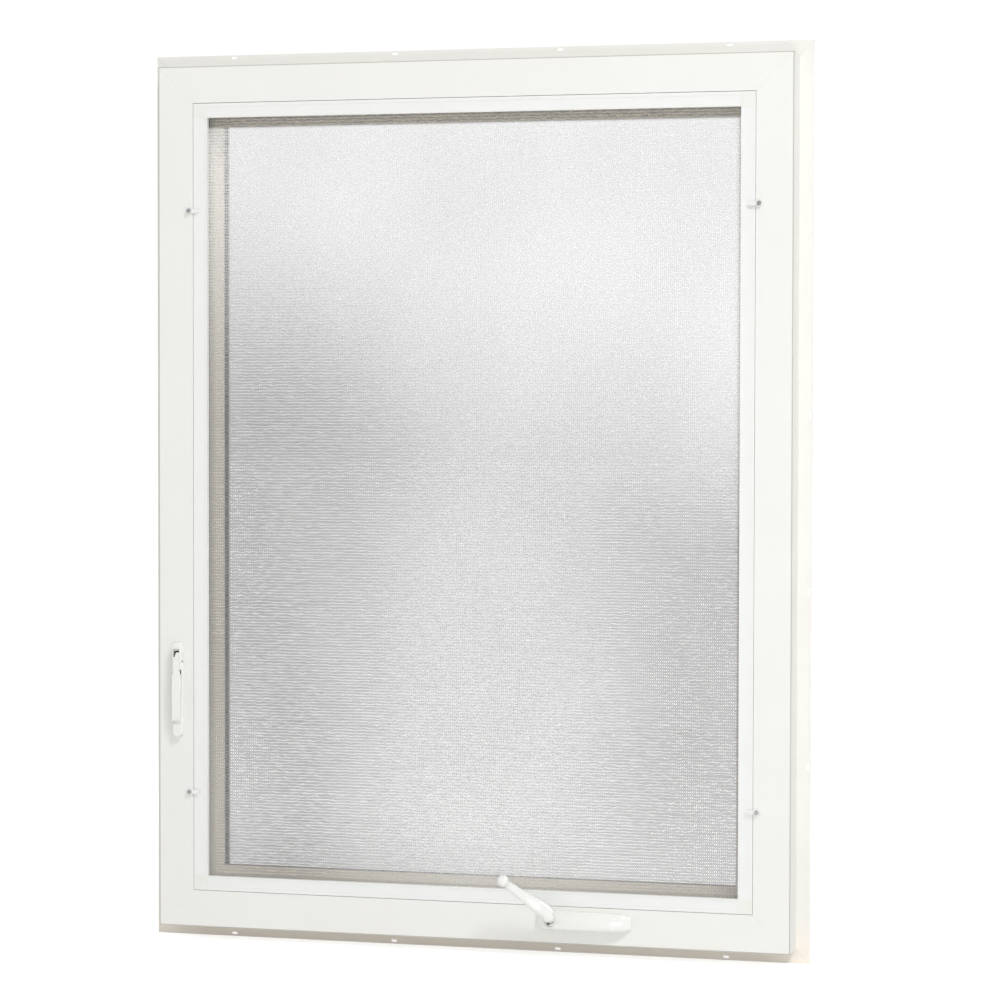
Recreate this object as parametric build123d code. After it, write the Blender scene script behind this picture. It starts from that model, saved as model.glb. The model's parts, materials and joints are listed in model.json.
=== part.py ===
from build123d import *
import os
from math import atan, atan2, cos, degrees, pi, radians, sin

# Vinyl casement window, seen from the room: X to the right, Y out of the house, Z up.
# The origin is the middle of the frame, on the room-side face of the nailing fin.
# Every length is in millimetres. Two words place things in a frame member:
# "inset" is the distance in from the frame's outer edge, and "depth" is the distance
# out from the frame's room-side face.

# Whole window
FRAME_WIDTH = 901.7
FRAME_HEIGHT = 1206.5
FRAME_DEPTH = 82.6
FIN_DEPTH = 44.5            # room-side face to the seating face of the fin

# Frame profile
WALL = 2.0
FACE_WIDTH = 51.0           # room-side face, edge to screen
REBATE = 9.0                # depth of the screen rebate
STOP_INSET = 66.0           # inner edge of the stop leg
STOP_BACK = 24.0            # depth of the stop leg's back face
CHANNEL_INSET = 22.0        # floor of the hardware channel round the sash
GROOVE_DEPTH = 3.0          # accessory groove round the outside
GROOVE_WIDTH = 3.0
GROOVE_CUT = 1.4

# Nailing fin
FIN_REACH = 19.0
FIN_THICK = 1.8
FIN_TONGUE = 6.0
FIN_SLOT_PITCH = 236.5
FIN_SLOT_LENGTH = 9.0
FIN_SLOT_WIDTH = 3.6
FIN_SLOT_OFFSET = 15.0      # slot centre, outside the frame's edge

# Sash and glass
CHANNEL = 14.0              # gap for hardware between frame and sash
SASH_ROOM = 31.0            # depth of the sash's room-side face
SASH_BACK = 73.0
SASH_BOX = 26.0             # width of the sash's hollow part
SASH_WALL = 2.2
LEG_WIDTH = 18.0            # glazing leg on the weather side
LEG_THICK = 8.5
BEAD_LIP = 10.0             # flat top of the glazing bead
BEAD_SLOPE = 10.0
PANE = 3.0
GLASS_GAP = 14.4
GLASS_EDGE = 4.0            # room left round the sealed glass for setting blocks
TAPE = 0.8
SPACER_WIDTH = 7.0
SEALANT_WIDTH = 4.0
BLOCK_LENGTH = 100.0

# Insect screen
SCREEN_GAP = 0.6
SCREEN_BAR = 20.0
SCREEN_THICK = 8.0
SPLINE_RADIUS = 1.4
MESH_THICK = 0.3

# Screen clips
CLIP_INSET = 46.0
CLIP_RADIUS = 4.6
CLIP_REACH = 11.5
CLIP_WIDTH = 6.4
CLIP_THICK = 3.2
CLIP_TOP = 201.0            # below the frame's top edge
CLIP_BOTTOM = 190.0         # above the frame's bottom edge
CLIP_SCREW_RADIUS = 1.6

# Concealed hinge: an arm of half the reach of the track, so the shoe runs straight
HINGE_DEPTH = 46.0
HINGE_ARM = 90.0
SHOE_EDGE = 11.85           # shoe pivot, in from the sash's hinge edge
HINGE_PIN = 2.5
RUN_FIT = 0.05
ARM_WIDTH = 16.0
TRACK_WIDTH = 24.0
TRACK_THICK = 1.5
SHOE_LENGTH = 36.0
POST_RADIUS = 4.0

# Operator
OPENING = 80.0              # how far the sash swings
GEAR_RATIO = 0.5808         # turn of the toothed arm per turn of the sash
OPERATOR_FROM_HINGE = 295.85   # arm pivot, in from the frame's hinge edge
OPERATOR_DEPTH = 31.0
GEAR_RADIUS = 24.0
GEAR_TEETH = 42
GEAR_THICK = 5.0
WORM_RADIUS = 7.0
STUD_TILT = 20.0            # crank stud, up from level
STUD_HEIGHT = 39.25         # inset of the handle's hub centre
STUD_OUT = 30.0             # the same centre, out from the frame's face
ARM_REACH = 164.4
ARM_HUB = 9.0
ARM_REST = 10.05            # angle of the closed arm from the frame's line
GUIDE_OFFSET = 14.0         # guide's centre line, outside the hinge line
ROLLER_RADIUS = 4.5
ROLLER_CLEAR = 1.4
STUD_RADIUS = 4.5
HANDLE_RADIUS = 66.7
HANDLE_REST = 54.5          # lean of the resting handle from upright, to the lock side
HANDLE_RISE = 46.7
KNOB_RADIUS = 8.2
KNOB_PIN = 2.2

# Lock
LOCK_HEIGHT = 334.0         # middle of the lock above the frame's bottom edge
LOCK_INSET = 30.0
LOCK_LENGTH = 132.0
LOCK_WIDTH = 14.0
LEVER_TAIL = 12.0
LEVER_HALF_SWING = 65.0
LEVER_PIN = 2.0
TIE_DEPTH = 56.0
TIE_WIDTH = 12.0
TIE_THICK = 2.5
TIE_FROM_SILL = 193.0       # bar's lower end, in from the frame's bottom edge
TIE_FROM_HEAD = 113.5       # bar's upper end, in from the frame's top edge
KEEPER_LENGTH = 34.0

HALF_W = FRAME_WIDTH / 2
HALF_H = FRAME_HEIGHT / 2
SASH_EDGE = CHANNEL_INSET + CHANNEL
GLASS_INSET = SASH_EDGE + SASH_BOX + GLASS_EDGE
BEAD_INSET = SASH_EDGE + SASH_BOX + BEAD_LIP + BEAD_SLOPE
SIDES = ("head", "sill", "lock", "hinge")
GAP = 0.3

parts = {}


def y_at(depth):
    return depth - FIN_DEPTH


def block(x, depth, z):
    """A box from three (low, high) pairs, the middle one in depths."""
    low, high = Vector(x[0], y_at(depth[0]), z[0]), Vector(x[1], y_at(depth[1]), z[1])
    size = high - low
    return Pos(*((low + high) * 0.5)) * Box(*size)


def rod(radius, start, end):
    """A round bar between two points."""
    start, end = Vector(*start), Vector(*end)
    line = end - start
    return Plane(origin=start, z_dir=line) * Cylinder(
        radius, line.length, align=(Align.CENTER, Align.CENTER, Align.MIN))


def rail(side, outline, holes=(), square_end=None):
    """One length of profile on a side of the frame, mitred or cut square.

    outline and holes are lists of (inset, depth) points.
    """
    span = FRAME_WIDTH if side in ("head", "sill") else FRAME_HEIGHT
    insets = [point[0] for point in outline]
    low, high = min(insets) - 1, max(insets) + 1
    half = span / 2 - low + 1

    def run(points):
        wire = Wire.make_polygon([Vector(-half, y_at(depth), inset) for inset, depth in points])
        return extrude(Face(wire), 2 * half, dir=(1, 0, 0))

    solid = run(outline)
    for hole in holes:
        solid -= run(hole)
    for end in (-1, 1):
        if square_end is None:
            cut = [(end * (span / 2 - low), low), (end * (span / 2 - high), high)]
        else:
            cut = [(end * (span / 2 - square_end), low), (end * (span / 2 - square_end), high)]
        cut += [(end * (half + 1), high), (end * (half + 1), low)]
        wire = Wire.make_polygon([Vector(x, y_at(-100), z) for x, z in cut])
        solid -= extrude(Face(wire), 300, dir=(0, 1, 0))
    places = {
        "sill": Pos(0, 0, -HALF_H),
        "head": Pos(0, 0, HALF_H) * Rot(0, 180, 0),
        "lock": Pos(-HALF_W, 0, 0) * Rot(0, 90, 0),
        "hinge": Pos(HALF_W, 0, 0) * Rot(0, -90, 0),
    }
    return places[side] * solid


def both_ends(bottom):
    """The same piece at the sill and, upside down, at the head."""
    return bottom, mirror(bottom, about=Plane.XY)


def group(solids):
    """Separate pieces that share one node."""
    return Compound(children=[solid for item in solids for solid in item.solids()])


# ---- fixed frame -----------------------------------------------------------------

FRAME_OUTLINE = [
    (0, 0), (FACE_WIDTH, 0), (FACE_WIDTH, REBATE), (STOP_INSET, REBATE),
    (STOP_INSET, STOP_BACK), (CHANNEL_INSET, STOP_BACK), (CHANNEL_INSET, FRAME_DEPTH),
    (0, FRAME_DEPTH), (0, FIN_DEPTH + FIN_THICK + 0.2),
    (FIN_TONGUE + 0.2, FIN_DEPTH + FIN_THICK + 0.2), (FIN_TONGUE + 0.2, FIN_DEPTH - 0.2),
    (0, FIN_DEPTH - 0.2), (0, GROOVE_DEPTH + GROOVE_WIDTH),
    (GROOVE_CUT, GROOVE_DEPTH + GROOVE_WIDTH), (GROOVE_CUT, GROOVE_DEPTH), (0, GROOVE_DEPTH),
]
FRONT_HOLLOW = [
    (GROOVE_CUT + WALL, WALL), (FACE_WIDTH - WALL, WALL), (FACE_WIDTH - WALL, REBATE + WALL),
    (STOP_INSET - WALL, REBATE + WALL), (STOP_INSET - WALL, STOP_BACK - WALL),
    (GROOVE_CUT + WALL, STOP_BACK - WALL),
]


def chamber(depth_low, depth_high):
    """A hollow between the outer wall and the channel floor."""
    inner = CHANNEL_INSET - WALL
    return [(WALL, depth_low), (inner, depth_low), (inner, depth_high), (WALL, depth_high)]


FRAME_HOLLOWS = [
    FRONT_HOLLOW,
    chamber(STOP_BACK + WALL, FIN_DEPTH - 0.2 - WALL),
    chamber(FIN_DEPTH + FIN_THICK + 0.2 + WALL, FRAME_DEPTH - WALL),
]


def slot_row(side):
    """The nailing slots along one length of fin, as cutting bars."""
    along_x = side in ("head", "sill")
    sign = 1 if side in ("head", "hinge") else -1
    cuts = []
    for step in (-1.5, -0.5, 0.5, 1.5):
        along = step * FIN_SLOT_PITCH
        out = sign * ((HALF_H if along_x else HALF_W) + FIN_SLOT_OFFSET)
        shape = Rot(90, 0, 0) * extrude(SlotOverall(FIN_SLOT_LENGTH, FIN_SLOT_WIDTH), 20, both=True)
        if along_x:
            cuts.append(Pos(along, 0, out) * shape)
        else:
            cuts.append(Pos(out, 0, along) * Rot(0, 90, 0) * shape)
    return cuts


FIN_OUTLINE = [
    (-FIN_REACH, FIN_DEPTH), (FIN_TONGUE, FIN_DEPTH),
    (FIN_TONGUE, FIN_DEPTH + FIN_THICK), (-FIN_REACH, FIN_DEPTH + FIN_THICK),
]

members = {side: rail(side, FRAME_OUTLINE, FRAME_HOLLOWS) for side in SIDES}
fins = []
for side in SIDES:
    fin = rail(side, FIN_OUTLINE)
    for cut in slot_row(side):
        fin -= cut
    fins.append(fin)
parts["nail_fins"] = group(fins)

# Weather seal on the stop leg. It stays low beside the hinge, where the sash sweeps in.
SEAL_INSET = STOP_INSET - 5
SEAL_WIDTH = 4.0
HINGE_SEAL = 2.4
SEAL_END = 200.0            # the low stretch along head and sill


def seal_outline(height):
    inner = SEAL_INSET + SEAL_WIDTH
    top = STOP_BACK + height
    return [(SEAL_INSET, STOP_BACK), (inner, STOP_BACK), (inner, top - 1), (inner - 1, top),
            (SEAL_INSET + 1, top), (SEAL_INSET, top - 1)]


full_seal = SASH_ROOM - STOP_BACK - 0.4
clear_of_hinge = block((HALF_W - SEAL_END, FRAME_WIDTH), (0, FRAME_DEPTH), (-HALF_H, HALF_H))
seals = []
for side in SIDES:
    if side == "hinge":
        seals.append(rail(side, seal_outline(HINGE_SEAL)))
    elif side == "lock":
        seals.append(rail(side, seal_outline(full_seal)))
    else:
        seals.append(rail(side, seal_outline(full_seal)) - clear_of_hinge)
        seals.append(rail(side, seal_outline(HINGE_SEAL)) & clear_of_hinge)
parts["stop_seals"] = group(seals)

# Weep covers on the weather side of the sill
WEEP_SPREAD = 250.0
WEEP_LENGTH = 42.0
WEEP_HEIGHT = 11.0
weeps = []
for x in (-WEEP_SPREAD, WEEP_SPREAD):
    base = -HALF_H + 5
    hood = block((x - WEEP_LENGTH / 2, x + WEEP_LENGTH / 2), (FRAME_DEPTH, FRAME_DEPTH + 3),
                 (base, base + WEEP_HEIGHT))
    hood -= block((x - WEEP_LENGTH / 2 + 1.5, x + WEEP_LENGTH / 2 - 1.5),
                  (FRAME_DEPTH - 1, FRAME_DEPTH + 1.8), (base - 1, base + WEEP_HEIGHT - 1.5))
    weeps.append(hood)
parts["weep_covers"] = group(weeps)

# ---- sash ------------------------------------------------------------------------

BOX_INNER = SASH_EDGE + SASH_BOX
LEG_INNER = BOX_INNER + LEG_WIDTH
LEG_FACE = SASH_BACK - LEG_THICK
SASH_OUTLINE = [
    (SASH_EDGE, SASH_ROOM), (BOX_INNER, SASH_ROOM), (BOX_INNER, LEG_FACE), (LEG_INNER, LEG_FACE),
    (LEG_INNER, SASH_BACK - 4), (LEG_INNER - 4, SASH_BACK), (SASH_EDGE, SASH_BACK),
]
SASH_HOLLOW = [
    (SASH_EDGE + SASH_WALL, SASH_ROOM + SASH_WALL), (BOX_INNER - SASH_WALL, SASH_ROOM + SASH_WALL),
    (BOX_INNER - SASH_WALL, SASH_BACK - SASH_WALL), (SASH_EDGE + SASH_WALL, SASH_BACK - SASH_WALL),
]
TAPE_FACE = LEG_FACE - TAPE
WEATHER_PANE = TAPE_FACE - PANE
ROOM_PANE = WEATHER_PANE - GLASS_GAP - PANE
BEAD_BACK = ROOM_PANE - 0.3
BEAD_FLAT = BOX_INNER + BEAD_LIP
BEAD_OUTLINE = [
    (BOX_INNER + 0.1, SASH_ROOM + 0.4), (BOX_INNER + 1, SASH_ROOM), (BEAD_FLAT, SASH_ROOM),
    (BEAD_INSET, BEAD_BACK - 2), (BEAD_INSET, BEAD_BACK), (BOX_INNER + 0.1, BEAD_BACK),
]
BEAD_HOLLOW = [
    (BOX_INNER + 2, SASH_ROOM + 2), (BEAD_FLAT - 1, SASH_ROOM + 2),
    (BEAD_INSET - 6, BEAD_BACK - 3.2), (BOX_INNER + 2, BEAD_BACK - 3.2),
]


def band(inset, width, depth, thick):
    """A plain strip section."""
    return [(inset, depth), (inset + width, depth), (inset + width, depth + thick), (inset, depth + thick)]


sash = {side: rail(side, SASH_OUTLINE, [SASH_HOLLOW]) for side in SIDES}
parts["glazing_beads"] = group([rail(side, BEAD_OUTLINE, [BEAD_HOLLOW]) for side in SIDES])


def pane(depth):
    half_w, half_h = HALF_W - GLASS_INSET, HALF_H - GLASS_INSET
    return block((-half_w, half_w), (depth, depth + PANE), (-half_h, half_h))


parts["glass_room_side"] = pane(ROOM_PANE)
parts["glass_weather_side"] = pane(WEATHER_PANE)
between = ROOM_PANE + PANE
spacer = band(GLASS_INSET + SEALANT_WIDTH, SPACER_WIDTH, between, GLASS_GAP)
spacer_hollow = band(GLASS_INSET + SEALANT_WIDTH + 1, SPACER_WIDTH - 2, between + 1, GLASS_GAP - 2)
parts["glass_spacer"] = group([rail(side, spacer, [spacer_hollow]) for side in SIDES])
sealant = band(GLASS_INSET, SEALANT_WIDTH, between, GLASS_GAP)
parts["edge_sealant"] = group([rail(side, sealant) for side in SIDES])
tape = band(GLASS_INSET + 1, LEG_WIDTH - 6, TAPE_FACE, TAPE)
parts["glazing_tape"] = group([rail(side, tape) for side in SIDES])
blocks = []
for x in (-1, 1):
    middle = x * (HALF_W - GLASS_INSET) / 2
    blocks.append(block((middle - BLOCK_LENGTH / 2, middle + BLOCK_LENGTH / 2),
                        (ROOM_PANE, TAPE_FACE),
                        (-HALF_H + BOX_INNER, -HALF_H + GLASS_INSET)))
parts["setting_blocks"] = group(blocks)

# ---- insect screen and its clips --------------------------------------------------

SCREEN_EDGE = FACE_WIDTH + SCREEN_GAP
SCREEN_INNER = SCREEN_EDGE + SCREEN_BAR
SCREEN_BACK = SCREEN_GAP + SCREEN_THICK
SPLINE_GROOVE = 2 * SPLINE_RADIUS + 0.2
GROOVE_OUTER = SCREEN_INNER - 3.4 - SPLINE_GROOVE
MESH_DEPTH = SCREEN_BACK - 0.6
STEP = 4.8                  # raised band beside the frame
LIP = 2.0
SCREEN_OUTLINE = [
    (SCREEN_EDGE, SCREEN_GAP), (SCREEN_EDGE + STEP, SCREEN_GAP), (SCREEN_EDGE + STEP, SCREEN_GAP + 0.5),
    (SCREEN_INNER - LIP, SCREEN_GAP + 0.5), (SCREEN_INNER - LIP, SCREEN_GAP), (SCREEN_INNER, SCREEN_GAP),
    (SCREEN_INNER, MESH_DEPTH - 0.2), (GROOVE_OUTER + SPLINE_GROOVE, MESH_DEPTH - 0.2),
    (GROOVE_OUTER + SPLINE_GROOVE, MESH_DEPTH - 3.4), (GROOVE_OUTER, MESH_DEPTH - 3.4),
    (GROOVE_OUTER, SCREEN_BACK), (SCREEN_EDGE, SCREEN_BACK),
]
parts["screen_bars"] = group([rail(side, SCREEN_OUTLINE, square_end=SCREEN_INNER) for side in SIDES])
half_w, half_h = HALF_W - GROOVE_OUTER - 0.1, HALF_H - GROOVE_OUTER - 0.1
parts["screen_mesh"] = block((-half_w, half_w), (MESH_DEPTH, MESH_DEPTH + MESH_THICK), (-half_h, half_h))
spline = band(GROOVE_OUTER + 0.1, 2 * SPLINE_RADIUS, MESH_DEPTH - 3.2, 2.8)
parts["screen_spline"] = group([rail(side, spline) for side in SIDES])

corners = []
for x in (-1, 1):
    for z in (-1, 1):
        outer_x, inner_x = x * (HALF_W - SCREEN_EDGE), x * (HALF_W - SCREEN_INNER)
        outer_z, inner_z = z * (HALF_H - SCREEN_EDGE), z * (HALF_H - SCREEN_INNER)
        corner = block(sorted((outer_x, inner_x)), (SCREEN_GAP, MESH_DEPTH - 3.4),
                       sorted((outer_z, inner_z)))
        corner += block(sorted((outer_x, x * (HALF_W - GROOVE_OUTER))), (SCREEN_GAP, SCREEN_BACK),
                        sorted((outer_z, z * (HALF_H - GROOVE_OUTER))))
        corners.append(corner)
parts["screen_corners"] = group(corners)

clip_places = {}
for level, z in (("top", HALF_H - CLIP_TOP), ("bottom", -HALF_H + CLIP_BOTTOM)):
    for side, x in (("lock", -1), ("hinge", 1)):
        clip_places[level + "_" + side] = (x * (HALF_W - CLIP_INSET), z, -x)

clip_screws = []
for name, (x, z, inward) in clip_places.items():
    shaft = rod(CLIP_SCREW_RADIUS, (x, y_at(-CLIP_THICK - 0.2), z), (x, y_at(7), z))
    head = rod(3.1, (x, y_at(-CLIP_THICK - 1.5), z), (x, y_at(-CLIP_THICK - 0.1), z))
    slot = block((x - 0.4, x + 0.4), (-CLIP_THICK - 2, -CLIP_THICK - 0.9), (z - 3.2, z + 3.2))
    clip_screws.append(shaft + head - slot)
    bore = rod(CLIP_SCREW_RADIUS + RUN_FIT, (x, y_at(-9), z), (x, y_at(9), z))
    wing_x = sorted((x, x + inward * CLIP_REACH))
    wing = block(wing_x, (-CLIP_THICK + 0.8, -GAP), (z - CLIP_WIDTH / 2, z + CLIP_WIDTH / 2))
    tip = x + inward * CLIP_REACH
    wing += rod(CLIP_WIDTH / 2, (tip, y_at(-CLIP_THICK + 0.8), z), (tip, y_at(-GAP), z))
    boss = rod(CLIP_RADIUS, (x, y_at(-CLIP_THICK), z), (x, y_at(-GAP), z))
    parts["screen_clip_" + name] = boss + wing - bore
    members["lock" if x < 0 else "hinge"] -= rod(CLIP_SCREW_RADIUS, (x, y_at(-9), z), (x, y_at(9), z))
parts["clip_screws"] = group(clip_screws)

# ---- concealed hinges -------------------------------------------------------------
# Levels above the sill's outer edge, from the channel floor up to the sash.

TRACK_TOP = CHANNEL_INSET + TRACK_THICK
LIP_TOP = TRACK_TOP + 0.9
SHOE_LOW = TRACK_TOP + 0.1
SHOE_TOP = CHANNEL_INSET + 5.0
LINK_LOW = CHANNEL_INSET + 2.7
LINK_TOP = CHANNEL_INSET + 4.7
SWING_LOW = CHANNEL_INSET + 6.0      # the operator arm passes between link and sash arm
SWING_TOP = CHANNEL_INSET + 9.0
SASH_ARM_LOW = SASH_EDGE - 2.8

SHOE_X = HALF_W - SASH_EDGE - SHOE_EDGE
ANCHOR_X = SHOE_X - 2 * HINGE_ARM
LINK_X = SHOE_X - HINGE_ARM


def at(x, depth, inset):
    """A point over the sill, by its inset."""
    return (x, y_at(depth), -HALF_H + inset)


def layer(x, depth, inset):
    """A box over the sill, with its height in insets."""
    return block(x, depth, (-HALF_H + inset[0], -HALF_H + inset[1]))


def link_plate(start, end, width, low, high):
    """A flat link with round ends between two (x, depth) points."""
    (x0, d0), (x1, d1) = start, end
    run = Vector(x1 - x0, d1 - d0, 0)
    angle = degrees(atan2(run.Y, run.X))
    middle = ((x0 + x1) / 2, y_at((d0 + d1) / 2), -HALF_H + low)
    shape = extrude(SlotCenterToCenter(run.length, width), high - low)
    return Pos(*middle) * Rot(0, 0, angle) * shape


lip_edge = TRACK_WIDTH / 2
track_x = (ANCHOR_X - 18, SHOE_X + 23)
track = layer(track_x, (HINGE_DEPTH - lip_edge, HINGE_DEPTH + lip_edge), (CHANNEL_INSET, TRACK_TOP))
for side in (-1, 1):
    edges = sorted((HINGE_DEPTH + side * lip_edge, HINGE_DEPTH + side * (lip_edge - 1.5)))
    track += layer(track_x, edges, (CHANNEL_INSET, LIP_TOP))
track_screws = []
for x in (ANCHOR_X + 30, LINK_X + 5, SHOE_X - 18):
    screw = rod(2.0, at(x, HINGE_DEPTH, CHANNEL_INSET - 12), at(x, HINGE_DEPTH, TRACK_TOP))
    screw += rod(3.4, at(x, HINGE_DEPTH, TRACK_TOP - 1), at(x, HINGE_DEPTH, TRACK_TOP))
    track -= screw
    screw -= layer((x - 0.4, x + 0.4), (HINGE_DEPTH - 2.4, HINGE_DEPTH + 2.4),
                   (TRACK_TOP - 0.5, TRACK_TOP + 1))
    track_screws.append(screw)
anchor = rod(HINGE_PIN, at(ANCHOR_X, HINGE_DEPTH, TRACK_TOP), at(ANCHOR_X, HINGE_DEPTH, LINK_TOP + 0.6))
anchor += rod(HINGE_PIN + 2, at(ANCHOR_X, HINGE_DEPTH, LINK_TOP + 0.1),
              at(ANCHOR_X, HINGE_DEPTH, LINK_TOP + 0.9))
link = link_plate((ANCHOR_X, HINGE_DEPTH), (LINK_X, HINGE_DEPTH), ARM_WIDTH, LINK_LOW, LINK_TOP)
link -= rod(HINGE_PIN + RUN_FIT, at(ANCHOR_X, HINGE_DEPTH, 0), at(ANCHOR_X, HINGE_DEPTH, SASH_EDGE))
post = rod(POST_RADIUS, at(LINK_X, HINGE_DEPTH, LINK_TOP), at(LINK_X, HINGE_DEPTH, SASH_ARM_LOW - 0.2))
post += rod(HINGE_PIN, at(LINK_X, HINGE_DEPTH, LINK_TOP), at(LINK_X, HINGE_DEPTH, SASH_EDGE - 0.3))
sash_arm = link_plate((SHOE_X, HINGE_DEPTH), (LINK_X - 8, HINGE_DEPTH), 12, SASH_ARM_LOW, SASH_EDGE)
sash_arm -= rod(HINGE_PIN + RUN_FIT, at(LINK_X, HINGE_DEPTH, 0), at(LINK_X, HINGE_DEPTH, SASH_EDGE + 1))
shoe_pin = rod(POST_RADIUS, at(SHOE_X, HINGE_DEPTH, SHOE_TOP + 0.2), at(SHOE_X, HINGE_DEPTH, SASH_ARM_LOW))
shoe_pin += rod(HINGE_PIN, at(SHOE_X, HINGE_DEPTH, SHOE_LOW + 0.2), at(SHOE_X, HINGE_DEPTH, SASH_ARM_LOW))
arm_screws = []
for x in (LINK_X + 22, LINK_X + 44, LINK_X + 66):
    screw = rod(1.8, at(x, HINGE_DEPTH, SASH_ARM_LOW), at(x, HINGE_DEPTH, SASH_EDGE + 10))
    screw += rod(3.0, at(x, HINGE_DEPTH, SASH_ARM_LOW), at(x, HINGE_DEPTH, SASH_ARM_LOW + 1.4))
    sash_arm -= screw
    arm_screws.append(screw)
shoe_half = TRACK_WIDTH / 2 - 2.2
shoe = layer((SHOE_X - SHOE_LENGTH / 2, SHOE_X + SHOE_LENGTH / 2),
             (HINGE_DEPTH - shoe_half, HINGE_DEPTH + shoe_half), (SHOE_LOW, SHOE_TOP))
shoe = fillet(shoe.edges().filter_by(Axis.Z), 4)
shoe -= rod(HINGE_PIN + RUN_FIT, at(SHOE_X, HINGE_DEPTH, 0), at(SHOE_X, HINGE_DEPTH, SASH_EDGE))

for name, piece in (("hinge_tracks", track), ("track_anchors", anchor), ("support_arms", link),
                    ("arm_posts", post), ("sash_arms", sash_arm + shoe_pin), ("hinge_shoes", shoe)):
    parts[name] = group(both_ends(piece))
all_track_screws = [piece for screw in track_screws for piece in both_ends(screw)]
all_arm_screws = [piece for screw in arm_screws for piece in both_ends(screw)]
for screw in all_track_screws:
    side = "sill" if screw.center().Z < 0 else "head"
    members[side] -= screw
for screw in all_arm_screws:
    side = "sill" if screw.center().Z < 0 else "head"
    sash[side] -= screw

# ---- operator: worm, gear arm and crank --------------------------------------------

PIVOT_X = HALF_W - OPERATOR_FROM_HINGE
STUD_X = PIVOT_X - GEAR_RADIUS - WORM_RADIUS
tilt = radians(STUD_TILT)
stud_axis = Vector(0, -cos(tilt), sin(tilt))
across = Vector(0, sin(tilt), cos(tilt))
MESH_RUN = (OPERATOR_DEPTH + STUD_OUT) / cos(tilt)      # hub centre down to the gear's line
GEAR_INSET = STUD_HEIGHT - MESH_RUN * sin(tilt)
mesh_point = Vector(*at(STUD_X, OPERATOR_DEPTH, GEAR_INSET))


def on_stud(run, sideways=0.0, up=0.0):
    """A point by its run along the stud from the mesh, with X and across offsets."""
    return mesh_point + stud_axis * run + Vector(1, 0, 0) * sideways + across * up


# Tooth sizes follow from the number of teeth: worm lead, then the slant that meshes with it.
lead = 3.5
for _ in range(40):
    worm_angle = atan(lead / (2 * pi * WORM_RADIUS))
    slant = tilt - worm_angle
    lead = 2 * pi * GEAR_RADIUS / GEAR_TEETH * cos(slant) / cos(worm_angle)
TOOTH = 0.36 * lead
ADDENDUM = 0.26 * lead
THREAD_HALF = 6.5
worm_plane = Plane(origin=mesh_point, x_dir=(1, 0, 0), z_dir=stud_axis)
core = WORM_RADIUS - 1.25 * ADDENDUM
tip_radius = WORM_RADIUS + ADDENDUM
helix = Helix(pitch=lead, height=2 * THREAD_HALF, radius=WORM_RADIUS)
helix = Pos(0, 0, -THREAD_HALF) * Rot(0, 0, -360 * THREAD_HALF / lead) * helix
start = helix @ 0
section_plane = Plane(origin=start, x_dir=(start.X, start.Y, 0), z_dir=helix % 0)
half_root, half_tip = TOOTH * 0.62, TOOTH * 0.38
thread_face = section_plane * make_face(Polyline(
    (-1.25 * ADDENDUM - 0.2, -half_root), (ADDENDUM, -half_tip),
    (ADDENDUM, half_tip), (-1.25 * ADDENDUM - 0.2, half_root), close=True))
thread = sweep(thread_face, path=helix, is_frenet=True)
shaft = Pos(0, 0, -THREAD_HALF - 3) * Cylinder(core, 2 * THREAD_HALF + 6,
                                               align=(Align.CENTER, Align.CENTER, Align.MIN))
worm = worm_plane * (shaft + thread)
worm += rod(3.5, on_stud(-THREAD_HALF - 5), on_stud(-THREAD_HALF - 3))
worm += rod(STUD_RADIUS, on_stud(THREAD_HALF), on_stud(MESH_RUN + 4))
parts["worm_shaft"] = worm

gear_low, gear_high = GEAR_INSET - GEAR_THICK / 2, GEAR_INSET + GEAR_THICK / 2
gear_root = GEAR_RADIUS - 1.3 * ADDENDUM
gear_from, gear_to = 180 - OPENING * GEAR_RATIO - 9, 180 + 9
pivot = Pos(*at(PIVOT_X, OPERATOR_DEPTH, gear_low))
wedge = make_face([
    Line((0, 0), (60 * cos(radians(gear_from)), 60 * sin(radians(gear_from)))),
    Line((60 * cos(radians(gear_from)), 60 * sin(radians(gear_from))), (-90, 0)),
    Line((-90, 0), (60 * cos(radians(gear_to)), 60 * sin(radians(gear_to)))),
    Line((60 * cos(radians(gear_to)), 60 * sin(radians(gear_to))), (0, 0)),
])
sector = extrude(Circle(gear_root) & wedge, GEAR_THICK)
pitch_angle = 360 / GEAR_TEETH
first = int((180 - gear_to) / pitch_angle - 0.5)
last = int((180 - gear_from) / pitch_angle + 0.5)
height = 2.3 * ADDENDUM
for step in range(first, last):
    angle = 180 - (step + 0.5) * pitch_angle
    outline = make_face(Polyline(
        (-0.3, -TOOTH * 0.62), (height, -TOOTH * 0.38), (height, TOOTH * 0.38), (-0.3, TOOTH * 0.62),
        close=True))
    tooth = Rot(degrees(slant), 0, 0) * Pos(0, 0, -GEAR_THICK) * extrude(outline, 2 * GEAR_THICK)
    tooth = Pos(gear_root, 0, GEAR_THICK / 2) * tooth
    sector += Rot(0, 0, angle) * (tooth & Pos(gear_root, 0, GEAR_THICK / 2) * Box(20, 20, GEAR_THICK))
gear = pivot * sector
gear += rod(6.0, at(PIVOT_X, OPERATOR_DEPTH, gear_low), at(PIVOT_X, OPERATOR_DEPTH, SWING_TOP))
rest = radians(ARM_REST)
tip = (PIVOT_X + ARM_REACH * cos(rest), OPERATOR_DEPTH + ARM_REACH * sin(rest))
gear += link_plate((PIVOT_X, OPERATOR_DEPTH), tip, 12, SWING_LOW, SWING_TOP)
gear += rod(ARM_HUB, at(PIVOT_X, OPERATOR_DEPTH, SWING_LOW), at(PIVOT_X, OPERATOR_DEPTH, SWING_TOP))
gear -= rod(3.0 + RUN_FIT, at(PIVOT_X, OPERATOR_DEPTH, 0), at(PIVOT_X, OPERATOR_DEPTH, 60))
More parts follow.
